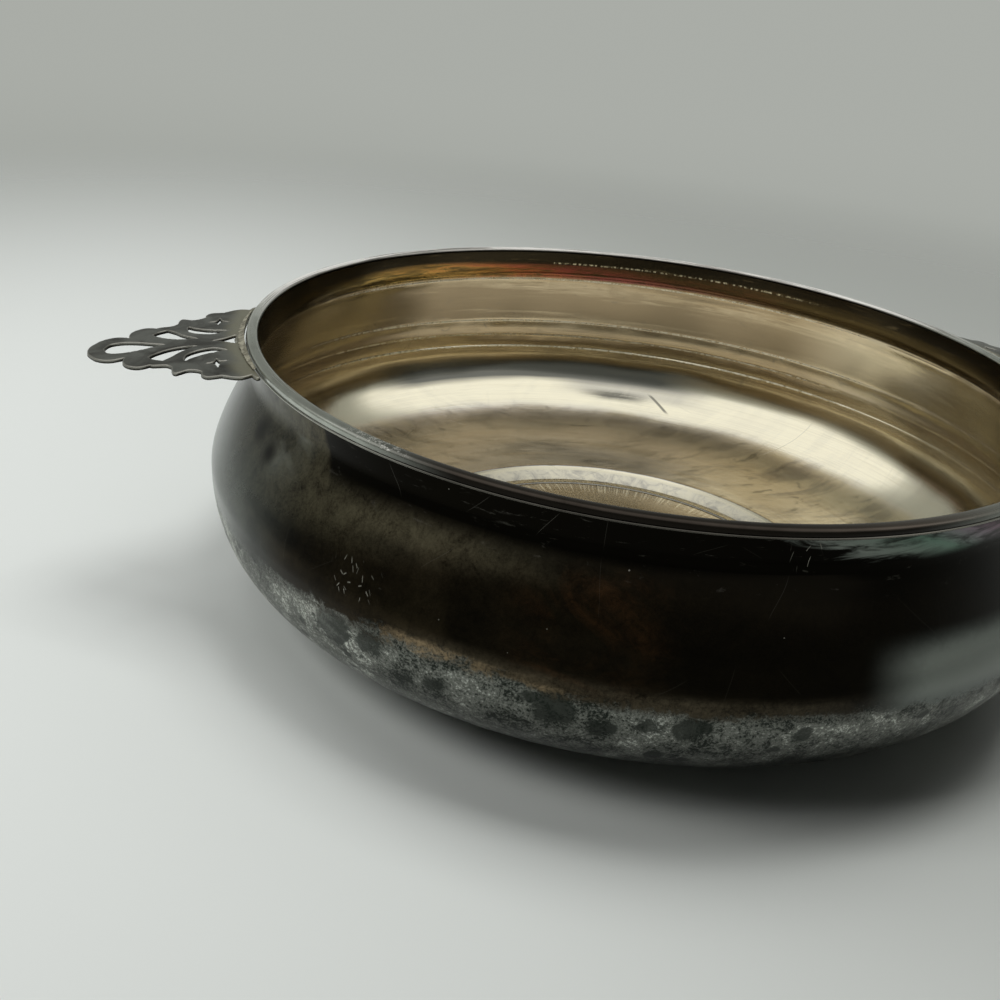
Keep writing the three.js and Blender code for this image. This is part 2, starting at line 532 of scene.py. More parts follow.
class Surface:
    """A material round the bowl's axis, and where its shaded point lies, in millimetres.

    Angles are in degrees. They run from +X, and turn runs from the front.
    """

    front: float = 270.0
    unrolled_radius: float = 120.0

    def __init__(self, name: str) -> None:
        """Starts a material and reads the point that is shaded.

        Args:
            name: Name of the material.
        """
        self.graph = graph = Graph.of_material(name)
        point = graph.add("ShaderNodeTexCoord", None, None, "Object")
        sockets = {"Vector": point, "Scale": 1 / MILLIMETRE}
        self.point = graph.add("ShaderNodeVectorMath", {"operation": "SCALE"}, sockets, "Vector")
        self.x, self.y, self.z = self.point.split()
        self.radius = (self.x * self.x + self.y * self.y) ** 0.5
        reach = self.radius.max(0.001)
        self.east, self.north = self.x / reach, self.y / reach
        sockets = {"Value": self.x, "Value_001": 0 - self.y}
        self.turn = graph.add("ShaderNodeMath", {"operation": "ARCTAN2"}, sockets) * (180 / math.pi)
        self.around = self.turn * math.radians(self.unrolled_radius)
        self.up = self.z * 1.15 + self.radius * 0.7

    def clouds(self, scale: float, detail: float, warp: float = 0.0, rough: float = 0.55) -> Signal:
        """Noise with some waves for each millimetre, and with finer layers."""
        return self.graph.noise(self.point, scale, detail, warp, rough)

    def field(self, x: Any, y: Any, z: Any, detail: float, warp: float = 0.0, rough: float = 0.55) -> Signal:
        """Noise over three coordinates that each have a scale of their own."""
        return self.graph.noise(self.graph.vector(x, y, z), 1.0, detail, warp, rough)

    def ringed(
        self, waves: float, level: Any, detail: float, warp: float = 0.0, rough: float = 0.55
    ) -> Signal:
        """Noise with some waves round the bowl, which changes with a level too."""
        return self.field(self.east * waves, self.north * waves, level, detail, warp, rough)

    def brushed(self, waves: float, along: float, detail: float, warp: float, rough: float = 0.55) -> Signal:
        """Streaks round the bowl, with some waves for each millimetre along the metal."""
        return self.ringed(waves, (self.radius + self.z) * along, detail, warp, rough)

    def facing(self, degrees: float, half: float, edge: float) -> Signal:
        """Mask of a sector of the bowl.

        Args:
            degrees: Its middle, from +X. A full turn is added on the far side's right half.
            half: Half of its width, in degrees.
            edge: Further angle over which it falls to 0.

        Returns:
            The mask.
        """
        away = self.turn - (degrees - self.front)
        return away.rise(-half - edge, -half) * away.rise(half + edge, half)

    def either(self, first: Triple, second: Triple) -> Signal:
        """Mask of two sectors."""
        return self.facing(*first).max(self.facing(*second))

    def patch(self, degrees: float, radius: float, height: float, reach: float, edge: float) -> Signal:
        """Mask of a spot on the metal.

        Args:
            degrees: Angle of the spot round the axis, from +X.
            radius: Distance of the spot from the axis.
            height: Height of the spot.
            reach: Distance from the spot up to which the value is 1.
            edge: Further distance over which it falls to 0.

        Returns:
            The mask.
        """
        angle = math.radians(degrees)
        spot = (radius * math.cos(angle), radius * math.sin(angle), height)
        sockets = {"Vector": self.point, "Vector_001": spot}
        away = self.graph.add("ShaderNodeVectorMath", {"operation": "DISTANCE"}, sockets, "Value")
        return away.rise(reach + edge, reach)


# Finishes


class OuterSkin(Surface):
    """Coordinates of the outside and the patterns that its layers share."""

    def __init__(self) -> None:
        """Starts the material and makes the patterns."""
        super().__init__("outer_tarnish")
        self.cloud = self.clouds(0.02, 5.0, 1.2)
        self.drift = self.brushed(1.6, 0.11, 6.0, 0.8)
        self.mottle = self.clouds(0.085, 8.0, 1.4, 0.66)
        self.speck = self.clouds(0.42, 9.0, 0.9, 0.78)
        self.grain = self.clouds(1.5, 5.0, 0.0, 0.8)


class InnerSkin(Surface):
    """Coordinates of the inside and the patterns that its layers share."""

    def __init__(self) -> None:
        """Starts the material and makes the patterns."""
        super().__init__("inner_gilding")
        self.wide = self.brushed(1.0, 0.07, 3.0, 0.4)
        self.streak = self.brushed(1.7, 0.45, 7.0, 0.7, 0.66)
        self.brush = self.brushed(3.4, 1.9, 6.0, 0.2, 0.75)
        self.grain = self.clouds(1.1, 4.0, 0.0, 0.7)


@dataclass(frozen=True)
class OuterTarnish:
    """Dark satin tarnish on the outside, with a grey mottled belt under the widest part, over a near-black
    ground that is partly tarnish and partly painted dark reflection, with painted reflections on the shoulder
    and collar.

    A sector is (middle, half, edge) in degrees, a level is (middle, half, edge) in millimetres, a spot
    is (degrees, radius, height, reach, edge) and strokes are (pitch, half length, half width, share).
    """

    black: Colour = (0.004, 0.0035, 0.0025)
    umber: Colour = (0.030, 0.023, 0.013)
    brown_sheen: Colour = (0.088, 0.079, 0.050)
    cool: Colour = (0.124, 0.139, 0.129)
    smear: Colour = (0.36, 0.38, 0.35)
    rust: Colour = (0.058, 0.028, 0.012)
    veil: Colour = (0.085, 0.070, 0.046)
    tan: Colour = (0.22, 0.165, 0.10)
    belt_light: Colour = (0.70, 0.72, 0.66)
    belt_middle: Colour = (0.175, 0.182, 0.162)
    belt_dark: Colour = (0.018, 0.022, 0.018)
    scratch: Colour = (0.50, 0.48, 0.42)
    film_stops: Stops = (
        (0.0, (0.20, 0.22, 0.20)),
        (0.4, (0.15, 0.24, 0.19)),
        (0.75, (0.24, 0.19, 0.23)),
        (1.0, (0.15, 0.05, 0.09)),
    )

    collar_foot: float = 64.0
    collar_blend: float = 7.0
    collar_ends: tuple[float, float] = (-57.6, -58.6)
    left_grey: Triple = (186.0, 11.0, 16.0)
    right_grey: Triple = (302.0, 12.0, 14.0)
    right_smear: Triple = (291.0, 5.0, 9.0)
    right_smear_level: Triple = (41.5, 2.5, 6.0)
    finger_smear: Spot = (203.5, 114.5, 63.5, 4.0, 10.0)
    finger_blots: tuple[Spot, Spot] = ((196.0, 116.0, 60.6, 0.8, 5.0), (200.5, 117.0, 58.0, 0.5, 4.5))
    rust_stain: Spot = (248.0, 121.0, 50.0, 5.0, 18.0)
    veil_sector: Triple = (253.0, 14.0, 16.0)
    veil_level: Triple = (36.0, 1.2, 3.6)
    tan_sector: Triple = (236.0, 5.0, 9.0)
    tan_level: Triple = (35.6, 0.5, 2.2)
    nick_cluster: Spot = (222.0, 122.8, 45.4, 4.0, 4.5)
    nick_level: Triple = (45.0, 3.2, 1.4)
    collar_scratches: Spot = (269.5, 112.2, 68.0, 1.0, 4.0)
    long_hairs: Strokes = (34.0, 13.0, 0.09, 0.40)
    short_hairs: Strokes = (12.0, 4.5, 0.08, 0.35)
    nicks: Strokes = (1.6, 0.55, 0.15, 0.85)
    scratches: Strokes = (2.4, 1.2, 0.16, 0.7)

    belt_top: float = 33.5
    belt_edge: float = 2.2
    belt_dip: Triple = (236.0, 5.0, 8.0)
    belt_shade: Triple = (262.0, 27.0, 14.0)
    belt_shine: Triple = (205.0, 12.0, 18.0)
    blot_radius: float = 123.6
    blots: tuple[Triple, ...] = (
        (225.0, 32.0, 6.0),
        (233.0, 26.0, 4.0),
        (246.0, 31.0, 7.5),
        (251.0, 27.5, 5.0),
        (259.5, 30.5, 5.0),
        (271.5, 29.5, 3.6),
        (214.0, 25.0, 3.0),
    )
    scattered_blots: tuple[tuple[float, float], ...] = ((21.0, 0.36), (9.0, 0.32))

    def make(self) -> bpy.types.Material:
        """Lays the tarnish and the painted reflections over a black ground.

        Returns:
            The finished material.
        """
        skin = OuterSkin()
        shoulder_sheen, collar, belt, marks = (
            mask(skin) for mask in (self._shoulder_sheen, self._collar, self._belt, self._marks)
        )
        texture = skin.speck * 1.3 + skin.grain * 1.1 + skin.mottle * 1.4 - 1.9
        patchy = (skin.cloud * 0.5 + skin.drift * 0.5).rise(0.34, 0.58)
        patchy = patchy * (0.12 + skin.turn.rise(0.0, -50.0) * 0.88)
        flecks = skin.brushed(14.0, 0.7, 6.0, 0.4, 0.7).rise(0.60, 0.74) * collar
        edge = skin.z + (skin.drift - 0.5) * 7.0
        veil = edge.band(*self.veil_level) * skin.facing(*self.veil_sector)
        tan = edge.band(*self.tan_level) * skin.facing(*self.tan_sector)
        colour = skin.graph.layers(
            # Near-black ground: dark tarnish, darkened further as painted dark reflection.
            self.black,
            (patchy * (0.7 + texture), self.umber),
            (self._stain(skin), self.rust),
            # Painted reflection: the brown sheen along the shoulder.
            (shoulder_sheen * (0.56 + texture * 1.5), self.brown_sheen),
            (self._cool(skin) * (0.8 + (skin.speck - 0.5) * 0.9), self.cool),
            *self._handled(skin),
            # Painted dark reflection: the collar is laid black.
            (collar * 0.97, self.black),
            (flecks * 0.10, self.scratch),
            (veil * (0.40 + texture), self.veil),
            (tan * (0.28 + texture * 2.4), self.tan),
            (belt, self._belt_colour(skin)),
            (marks, self.scratch),
            self._film(skin),
        )
        rough = 0.19 + shoulder_sheen * 0.14 + belt * 0.16 + (skin.grain - 0.5) * 0.16 + marks * 0.15 - collar * 0.07
        pits = skin.graph.spots(skin.point, 2.6).rise(0.22, 0.05) * belt
        relief = [(pits, -0.05), (skin.speck * belt, 0.08), (marks, -0.01)]
        return skin.graph.finish(colour, rough, 1.0, relief)

    def _shoulder_sheen(self, skin: OuterSkin) -> Signal:
        """Brown tarnish along the shoulder, lightened as a painted reflection of the bright surroundings,
        thinning out towards the right.

        Args:
            skin: Coordinates and patterns of the metal.

        Returns:
            Its mask.
        """
        level = skin.z - skin.turn * 0.35 - 24.5 + (skin.drift - 0.5) * 12.0
        height = level.rise(39.0, 51.0) * skin.z.rise(66.0, 59.5).max(skin.turn.rise(*self.collar_ends))
        front = skin.turn.rise(-8.0, -38.0) * skin.turn.rise(-88.0, -70.0)
        back = skin.cloud.rise(0.44, 0.60) * skin.y.rise(-20.0, 40.0)
        back = back * skin.z.rise(41.0, 53.0) * skin.z.rise(66.0, 60.0)
        return (height * front).max(back * 0.9)

    def _cool(self, skin: OuterSkin) -> Signal:
        """Cool grey areas towards both handles.

        Args:
            skin: Coordinates and patterns of the metal.

        Returns:
            Their mask.
        """
        left = skin.facing(*self.left_grey) * (0.35 + skin.z.rise(60.0, 46.0) * 0.65)
        right = skin.facing(*self.right_grey) * skin.z.rise(52.0, 44.0) * 2.4
        return left.max(right) * (0.24 + skin.cloud)

    def _handled(self, skin: OuterSkin) -> list[Layer]:
        """Pale smears and dark blots left by fingers beside the left handle and on the right.

        Args:
            skin: Coordinates and patterns of the metal.

        Returns:
            Their layers.
        """
        right = skin.facing(*self.right_smear) * skin.z.band(*self.right_smear_level)
        swept = skin.field(skin.around * 0.05, skin.up * 0.12, 4.0, 5.0, 0.9)
        near = skin.patch(*self.finger_smear) * skin.turn.rise(*self.collar_ends)
        first, second = (skin.patch(*blot) for blot in self.finger_blots)
        return [
            (right * 0.32, self.smear),
            (swept.rise(0.38, 0.72) * near * 0.34, self.smear),
            (first.max(second) * (0.45 + swept), self.black),
        ]

    def _stain(self, skin: OuterSkin) -> Signal:
        """Reddish brown stain with darker whorls low on the front.

        Args:
            skin: Coordinates and patterns of the metal.

        Returns:
            Its mask.
        """
        whorl = skin.field(skin.around * 0.045, skin.up * 0.085, 1.5, 6.0, 1.3, 0.66)
        return skin.patch(*self.rust_stain) * whorl.rise(0.36, 0.70) * (0.5 + (skin.speck - 0.5) * 2.6)

    def _collar(self, skin: OuterSkin) -> Signal:
        """Painted dark reflection on the collar, laid black, which ends sharply beside the left handle.

        Args:
            skin: Coordinates and patterns of the metal.

        Returns:
            Its mask.
        """
        bare, black = self.collar_ends
        start = (skin.turn + (skin.z - 66.0) * 0.3 + (skin.drift - 0.5) * 2.0).rise(black, bare)
        height = skin.z.rise(self.collar_foot - self.collar_blend, self.collar_foot)
        return height * start.max(skin.turn.rise(-100.0, -120.0))

    def _belt(self, skin: OuterSkin) -> Signal:
        """The grey belt round the lower half, with a ragged upper edge.

        Args:
            skin: Coordinates and patterns of the metal.

        Returns:
            Its mask.
        """
        ragged = (skin.drift - 0.5) * 8.0 + (skin.speck - 0.5) * 12.0 + (skin.mottle - 0.5) * 10.0
        edge = skin.z + ragged - skin.facing(*self.belt_dip) * 2.0
        return edge.rise(self.belt_top + self.belt_edge, self.belt_top - self.belt_edge)

    def _belt_colour(self, skin: OuterSkin) -> Signal:
        """Mottled greys of the belt, with round dark blots, darkest at the front.

        Args:
            skin: Coordinates and patterns of the metal.

        Returns:
            The colour.
        """
        patches = skin.brushed(5.0, 0.06, 4.0, 1.0, 0.6)
        tone = skin.mottle * 1.6 + skin.speck * 2.2 + skin.grain * 2.6 + patches * 1.6 - 3.52
        tone = tone - skin.facing(*self.belt_shade) * 0.20 + skin.facing(*self.belt_shine) * 0.16
        middle = ((0.42, self.belt_middle), (0.62, self.belt_middle))
        colour = skin.graph.ramp(tone, ((0.0, self.belt_dark), *middle, (1.0, self.belt_light)))
        ragged = (skin.speck - 0.5) * 2.4 + (skin.mottle - 0.5) * 2.6
        first, *others = (
            skin.patch(degrees, self.blot_radius, height, reach * 0.2, reach)
            for degrees, height, reach in self.blots
        )
        dark = (first.max(*others) + ragged).rise(0.45, 0.75)
        for pitch, most in self.scattered_blots:
            cell = skin.graph.spots(skin.graph.vector(skin.around, skin.up, pitch), pitch, flat=True)
            draw, chance, _ = cell.beside("Color").split()
            reach = draw * most * chance.rise(0.45, 0.50) - 0.03
            dark = dark.max((reach - cell - ragged * 0.17).rise(-0.04, 0.08))
        return skin.graph.blend(dark * (0.15 + skin.speck * 0.7 + skin.grain * 0.6), colour, self.belt_dark)

    def _marks(self, skin: OuterSkin) -> Signal:
        """Curved hairlines, dust, nicks on the belly and a few scratches on the collar.

        Args:
            skin: Coordinates and patterns of the metal.

        Returns:
            Their mask.
        """
        strokes = skin.graph.strokes
        bend = skin.clouds(0.03, 1.0) - 0.5
        across, up = skin.around + bend * 15.0, skin.up - bend * 10.0
        long_hairs = strokes(across, up, *self.long_hairs) * 0.16
        short_hairs = strokes(across + 7.0, up, *self.short_hairs) * 0.12
        hairs = long_hairs.max(short_hairs) * (0.25 + skin.turn.rise(0.0, -30.0) * 0.75)
        dust = skin.graph.spots(skin.point, 8.0).rise(0.030, 0.02) * 0.3
        nicks = strokes(skin.around + skin.up * 0.2, skin.up * 0.7, *self.nicks)
        nicks = nicks * skin.z.band(*self.nick_level) * skin.patch(*self.nick_cluster) * 0.8
        scratches = strokes(skin.around * 1.4, skin.up * 0.7, *self.scratches)
        return hairs.max(dust, nicks, scratches * skin.patch(*self.collar_scratches) * 0.8)

    def _film(self, skin: OuterSkin) -> Layer:
        """A thin film of rainbow colours on the right-hand stretch of the collar.

        Args:
            skin: Coordinates and patterns of the metal.

        Returns:
            Its layer.
        """
        wear = skin.brushed(7.0, 0.35, 6.0, 0.8, 0.65)
        film = skin.graph.ramp((skin.turn + (skin.z - 68.0) * 1.5).rise(4.0, 34.0), self.film_stops)
        start = (skin.turn + (wear - 0.5) * 34.0 + (skin.z - 69.0) * 2.4).rise(2.0, 9.0)
        mask = skin.z.rise(64.5, 67.0) * start * skin.turn.rise(60.0, 38.0)
        return mask * (0.1 + wear.rise(0.36, 0.60) * 0.85), film


@dataclass(frozen=True)
class InnerGilding:
    """Warm, spun metal of the inside, from a dark collar to a pale floor, much of it painted reflections,
    shade and highlights.

    Sectors, levels and strokes are given as they are for the outside.
    """

    gold: Colour = (0.70, 0.60, 0.40)
    brown: Colour = (0.40, 0.325, 0.205)
    amber: Colour = (0.60, 0.48, 0.29)
    silver: Colour = (0.90, 0.85, 0.67)
    mist_and_reflection: Colour = (0.70, 0.68, 0.66)
    pewter: Colour = (0.42, 0.41, 0.385)
    smoke: Colour = (0.16, 0.16, 0.14)
    collar: Colour = (0.12, 0.092, 0.045)
    soot: Colour = (0.042, 0.036, 0.026)
    ring: Colour = (0.66, 0.645, 0.58)
    disc: Colour = (0.70, 0.65, 0.56)
    wall_stops: Stops = (
        (0.0, brown),
        (0.14, gold),
        (0.26, brown),
        (0.38, amber),
        (0.50, gold),
        (0.62, brown),
        (0.80, brown),
        (0.90, gold),
        (1.0, amber),
    )
    heat_stops: Stops = (
        (0.0, (0.58, 0.43, 0.17)),
        (0.3, (0.60, 0.34, 0.12)),
        (0.5, (0.52, 0.19, 0.09)),
        (0.7, (0.36, 0.10, 0.09)),
        (1.0, (0.20, 0.11, 0.06)),
    )

    collar_foot: float = 63.4
    wall_foot: float = 26.0
    wall_height: float = 37.0
    floor_blend: tuple[float, float] = (26.6, 22.6)
    ring_outer: float = 72.8
    ring_inner: float = 65.0
    disc_radius: float = 62.4
    arc_level: Triple = (25.2, 2.1, 2.8)
    arc_sectors: tuple[Triple, Triple] = ((450.0, 22.0, 16.0), (96.0, 18.0, 12.0))
    left_brown: Triple = (152.0, 24.0, 26.0)
    far_brown: Triple = (432.0, 22.0, 24.0)
    right_pale: tuple[Triple, Triple] = ((366.0, 20.0, 20.0), (6.0, 20.0, 20.0))
    spun_sectors: tuple[Triple, Triple] = ((450.0, 42.0, 30.0), (90.0, 30.0, 24.0))
    spun_lines: tuple[Triple, ...] = (
        (44.7, 0.22, 1.0),
        (33.9, 0.22, 1.0),
        (38.5, 0.18, 0.7),
        (64.5, 0.18, 1.0),
        (63.4, 0.2, 1.0),
    )
    spun_edge: float = 0.2
    veil_level: Triple = (20.5, 1.6, 2.6)
    veil_sector: Triple = (430.0, 8.0, 9.0)
    lens_level: Triple = (17.8, 0.1, 2.2)
    lens_sector: Triple = (433.5, 0.5, 8.0)
    oblique_level: Triple = (17.2, 1.7, 1.2)
    dash_radii: Triple = (59.5, 1.5, 4.0)
    line_radii: tuple[Triple, Triple] = ((64.7, 0.22, 0.15), (63.1, 0.25, 0.15))
    between_lines: Triple = (63.9, 0.4, 0.2)
    glint_level: Triple = (69.6, 0.1, 0.35)
    glint_sector: Triple = (434.0, 24.0, 16.0)
    long_scratches: Strokes = (30.0, 12.0, 0.12, 0.5)
    short_scratches: Strokes = (11.0, 4.5, 0.10, 0.5)

    @property
    def ring_middle(self) -> float:
        """Radius of the middle of the mottled band."""
        return (self.ring_outer + self.ring_inner) / 2

    def make(self) -> bpy.types.Material:
        """Joins the wall, floor, ring and collar.

        Returns:
            The finished material.
        """
        skin = InnerSkin()
        floor, mist_and_reflection = self._floor(skin)
        ring, dash_highlights = self._ring(skin)
        collar, glints = self._collar(skin)
        spun, marks = self._spun_lines(skin), self._marks(skin)
        level = skin.z + (skin.wide - 0.5) * 5.0
        arc = level.band(*self.arc_level) * skin.either(*self.arc_sectors)
        colour = skin.graph.layers(
            self._wall(skin),
            # Painted reflection: the pale floor below the wall.
            (level.rise(*self.floor_blend), floor),
            # Painted dark reflection: a smoky arc low on the far wall.
            (arc * (0.74 + skin.streak * 0.6), self.smoke),
            # Painted highlight, partly wear: bright lines along the spinning ridges.
            (spun, self.silver),
            *ring,
            (skin.z.rise(self.collar_foot + 0.3, self.collar_foot + 1.0), collar),
            (marks * 0.4, self.smoke),
        )
        band = skin.radius.band(self.ring_middle, 3.0, 0.6)
        rough = 0.175 + (skin.streak - 0.5) * 0.12 + (skin.brush - 0.5) * 0.14
        rough = rough + mist_and_reflection * 0.05 + band * 0.16 + marks * 0.1
        # Less metal where the painted highlights lie, so that the lamps light them pale.
        metal = 1.0 - (dash_highlights.max(glints) + spun * 0.65)
        crimps = skin.ringed(34.0, 0.0, 2.0) * skin.radius.band(self.disc_radius - 2.0, 1.2, 3.5)
        relief = [
            (skin.clouds(0.022, 1.0), 1.6),
            (skin.streak, 0.012),
            (skin.brush, 0.004),
            (crimps, 0.10),
            (marks, -0.006),
        ]
        return skin.graph.finish(colour, rough, metal, relief)

    def _marks(self, skin: InnerSkin) -> Signal:
        """Straight scratches on the floor.

        Args:
            skin: Coordinates and patterns of the metal.

        Returns:
            Their mask.
        """
        long = skin.graph.strokes(skin.x, skin.y, *self.long_scratches)
        short = skin.graph.strokes(skin.x + 5.0, skin.y, *self.short_scratches)
        return long.max(short * 0.6) * skin.z.rise(30.0, 22.0)

    def _wall(self, skin: InnerSkin) -> Signal:
        """Bands of gold, brown and amber up the wall, brushed round it: painted reflections of the
        surroundings, with painted shade towards the left and the far side and a paler painted reflection on
        the right.

        Args:
            skin: Coordinates and patterns of the metal.

        Returns:
            The colour.
        """
        level = (skin.z - self.wall_foot) * (1 / self.wall_height)
        level = level + (skin.wide - 0.5) * 0.40 + (skin.streak - 0.5) * 0.60
        stain = skin.brushed(4.0, 0.13, 5.0, 1.4, 0.6)
        dim = (skin.streak * 0.5 + skin.brush * 0.5).rise(0.48, 0.56)
        dots = skin.clouds(0.16, 6.0, 1.2, 0.7).rise(0.60, 0.70)
        # Painted reflections: the bands of gold, brown and amber up the wall.
        return skin.graph.layers(
            skin.graph.ramp(level, self.wall_stops),
            (stain.rise(0.50, 0.66) * 0.55, self.brown),
            (dim * 0.85, self.brown),
            (dots * 0.45, self.smoke),
            # Painted shade: darker towards the left and the far side.
            (skin.facing(*self.left_brown) * 0.4, self.brown),
            (skin.facing(*self.far_brown) * 0.25, self.brown),
            # Painted reflection: paler on the right.
            (skin.either(*self.right_pale) * 0.5, self.silver),
        )

    def _spun_lines(self, skin: InnerSkin) -> Signal:
        """Beaded bright lines along the spinning ridges, partly wear and partly painted highlight, kept
        mostly to the far side.

        Args:
            skin: Coordinates and patterns of the metal.

        Returns:
            Its mask.
        """
        beads = skin.ringed(70.0, skin.z * 0.4, 2.0).rise(0.36, 0.60)
        first, *others = (
            skin.z.band(height, half, self.spun_edge) * strength for height, half, strength in self.spun_lines
        )
        return first.max(*others) * (0.30 + beads * 0.70) * (0.15 + skin.either(*self.spun_sectors) * 0.85)

    def _floor(self, skin: InnerSkin) -> tuple[Signal, Signal]:
        """Pale sloping floor, smudged in the middle: its pale colour is partly a painted reflection of the
        bright panel above, and low down it is greyer, partly a painted reflection of the wall and partly a
        misted, rougher finish.

        Args:
            skin: Coordinates and patterns of the metal.

        Returns:
            The colour, and the mask of the greyer low floor.
        """
        broad = skin.field(skin.x * 0.013, skin.y * 0.030, 0.5, 4.0, 1.8, 0.5)
        fine = skin.field(skin.x * 0.035, skin.y * 0.11, 2.5, 6.0, 0.9, 0.6)
        finger = skin.field(skin.x * 0.09, skin.y * 0.2, 7.0, 6.0, 1.2, 0.7).rise(0.56, 0.66)
        low = (skin.z + (broad - 0.5) * 9.0).rise(15.0, 10.5)
        aside = (skin.east - skin.north * 0.5 + (broad - 0.5) * 0.6).rise(-0.10, 0.55)
        mist_and_reflection = low * (1.0 - aside * 0.55)
        smudge = (broad * 0.3 + fine * 0.7).rise(0.46, 0.62) * (0.14 + low * 0.86)
        veil = skin.z.band(*self.veil_level) * skin.facing(*self.veil_sector)
        lens = skin.z.band(*self.lens_level) * skin.facing(*self.lens_sector) * 2.0
        lens = lens * (skin.brush * 0.5 + fine * 0.5).rise(0.36, 0.56)
        oblique = (skin.z - 19.3 - (skin.turn - 156.5) * 1.2).band(0.0, 0.2, 0.5)
        oblique = oblique * skin.z.band(*self.oblique_level)
        strong = 0.30 + low * 0.70
        colour = skin.graph.layers(
            self.silver,
            # Painted reflection and a misted finish: greyer and rougher low down.
            (mist_and_reflection * 0.95, self.mist_and_reflection),
            (smudge * (0.35 + skin.brush * 0.9), self.pewter),
            (finger * low * 0.55, self.smoke),
            (veil * (0.2 + fine * 0.7), self.pewter),
            # Painted reflection: the smoky lens-shaped outline and the oblique line on the floor.
            ((lens * 0.6).max(oblique * 0.85), self.smoke),
            ((skin.brush - 0.48) * 2.2 * strong, self.brown),
            ((skin.streak - 0.46) * strong, self.gold),
        )
        return colour, mist_and_reflection

    def _ring(self, skin: InnerSkin) -> tuple[list[Layer], Signal]:
        """Mottled band round the floor, fine lines inside it and the disc.

        Args:
            skin: Coordinates and patterns of the metal.

        Returns:
            Their layers, and the mask of the short pale strokes near the disc's edge, which are painted
            highlights.
        """
        radius = skin.radius
        reach = (self.ring_outer - self.ring_inner) / 2
        mottle = skin.clouds(0.20, 6.0, 0.8, 0.7)
        grey = skin.graph.blend(mottle.rise(0.40, 0.62) * 0.8, self.ring, self.pewter)
        # Painted highlights: short pale radial strokes near the disc's edge.
        rays = (skin.ringed(95.0, radius * 0.03, 4.0) + (skin.grain - 0.5) * 0.3).rise(0.50, 0.62)
        rays = rays * radius.band(*self.dash_radii)
        disc = skin.graph.blend(rays, self.disc, self.silver)
        first, second = (radius.band(*line) for line in self.line_radii)
        layers = [
            # Painted highlight: the band's edges are left silver round its grey middle.
            (radius.band(self.ring_middle, reach - 0.1, 0.2), self.silver),
            (radius.band(self.ring_middle, 2.0, 1.0) * (0.50 + (mottle - 0.5) * 2.4), grey),
            (radius.rise(self.ring_inner, self.ring_inner - 0.2), disc),
            (radius.band(*self.between_lines), self.silver),
            (first.max(second) * 0.85, self.smoke),
        ]
        return layers, rays * 0.22

    def _collar(self, skin: InnerSkin) -> tuple[Signal, Signal]:
        """Dark collar with heat colours low on its far side.

        Args:
            skin: Coordinates and patterns of the metal.

        Returns:
            The colour, and the mask of the collar's pale dots.
        """
        fine = skin.brushed(9.0, 0.9, 6.0, 0.5, 0.7)
        run = skin.east * 0.9 + (skin.z - self.collar_foot) * 0.05
        run = run + (skin.streak - 0.5) * 0.5 + (fine - 0.5) * 0.8 + 0.42
        lower = (skin.z + (skin.streak - 0.5) * 5.0 + (fine - 0.5) * 3.0).rise(70.4, 67.4)
        far = skin.north.rise(0.62, 0.86) * lower
        beads = skin.ringed(130.0, skin.z * 0.5, 3.0).rise(0.44, 0.64)
        glints = beads * skin.z.band(*self.glint_level) * skin.facing(*self.glint_sector)
        colour = skin.graph.layers(
            self.soot,
            (lower * 0.9, self.collar),
            (fine.rise(0.56, 0.70) * 0.30, self.brown),
            (far * (0.1 + fine.rise(0.36, 0.60)), skin.graph.ramp(run, self.heat_stops)),
            (glints, self.silver),
        )
        return colour, glints * 0.35


@dataclass(frozen=True)
class MouldingPlate:
    """Satin of the moulding with painted light: a lighter crest over a darker outer face, greyer beside the
    handles, painted shade at the front and a painted highlight along the far rim.
    """

    name: str
    outer: Colour
    inner: Colour
    grey: Colour
    rough: float
    dark: Colour = (0.012, 0.010, 0.008)
    bright: Colour = (0.82, 0.81, 0.76)
    crest: float = 74.1
    near_shade: Triple = (244.0, 22.0, 18.0)
    left_grey: Triple = (190.0, 20.0, 22.0)
    right_grey: Triple = (336.0, 26.0, 30.0)
    far_line: Triple = (112.5, 1.2, 0.4)
    nick_cluster: Spot = (220.0, 113.0, 74.0, 4.0, 8.0)

    def make(self) -> bpy.types.Material:
        """Lays the painted crest, greys, shade and highlight, and the nicks, over the outward colour.

        Returns:
            The finished material.
        """
        skin = Surface(self.name)
        streak = skin.brushed(3.0, 0.9, 4.0, 0.6)
        cloud = skin.clouds(0.07, 4.0, 0.8)
        patchy = streak.rise(0.34, 0.58)
        upper = (skin.z + (streak - 0.5) * 0.5 + (cloud - 0.5) * 0.4).rise(73.6, 74.35)
        sides = skin.either(self.left_grey, self.right_grey)
        far = skin.y.rise(-10.0, 60.0) * skin.radius.band(*self.far_line) * skin.z.rise(73.7, 74.0)
        nicks = skin.patch(*self.nick_cluster) * skin.z.rise(self.crest - 0.3, self.crest + 0.1)
        nicks = nicks * skin.clouds(1.0, 4.0, 0.0, 0.75).rise(0.52, 0.62)
        colour = skin.graph.layers(
            self.outer,
            # Painted highlight: the crest is laid lighter than the outer face.
            (upper, self.inner),
            (skin.facing(*self.near_shade) * (0.9 - cloud * 0.5), self.dark),
            # Painted reflections: greyer beside the handles.
            (sides * (0.45 + cloud * 0.7), self.grey),
            # Painted highlight: a pale line along the far rim, made less metallic so that the lamps light it.
            (far * (0.3 + patchy * 0.7), self.bright),
            (nicks * 0.8, self.bright),
        )
        rough = self.rough + (streak - 0.5) * 0.16 + nicks * 0.1
        metal = 1.0 - far * (0.3 + patchy * 0.5)
        return skin.graph.finish(colour, rough, metal, [(cloud, 0.03), (nicks, -0.05)])


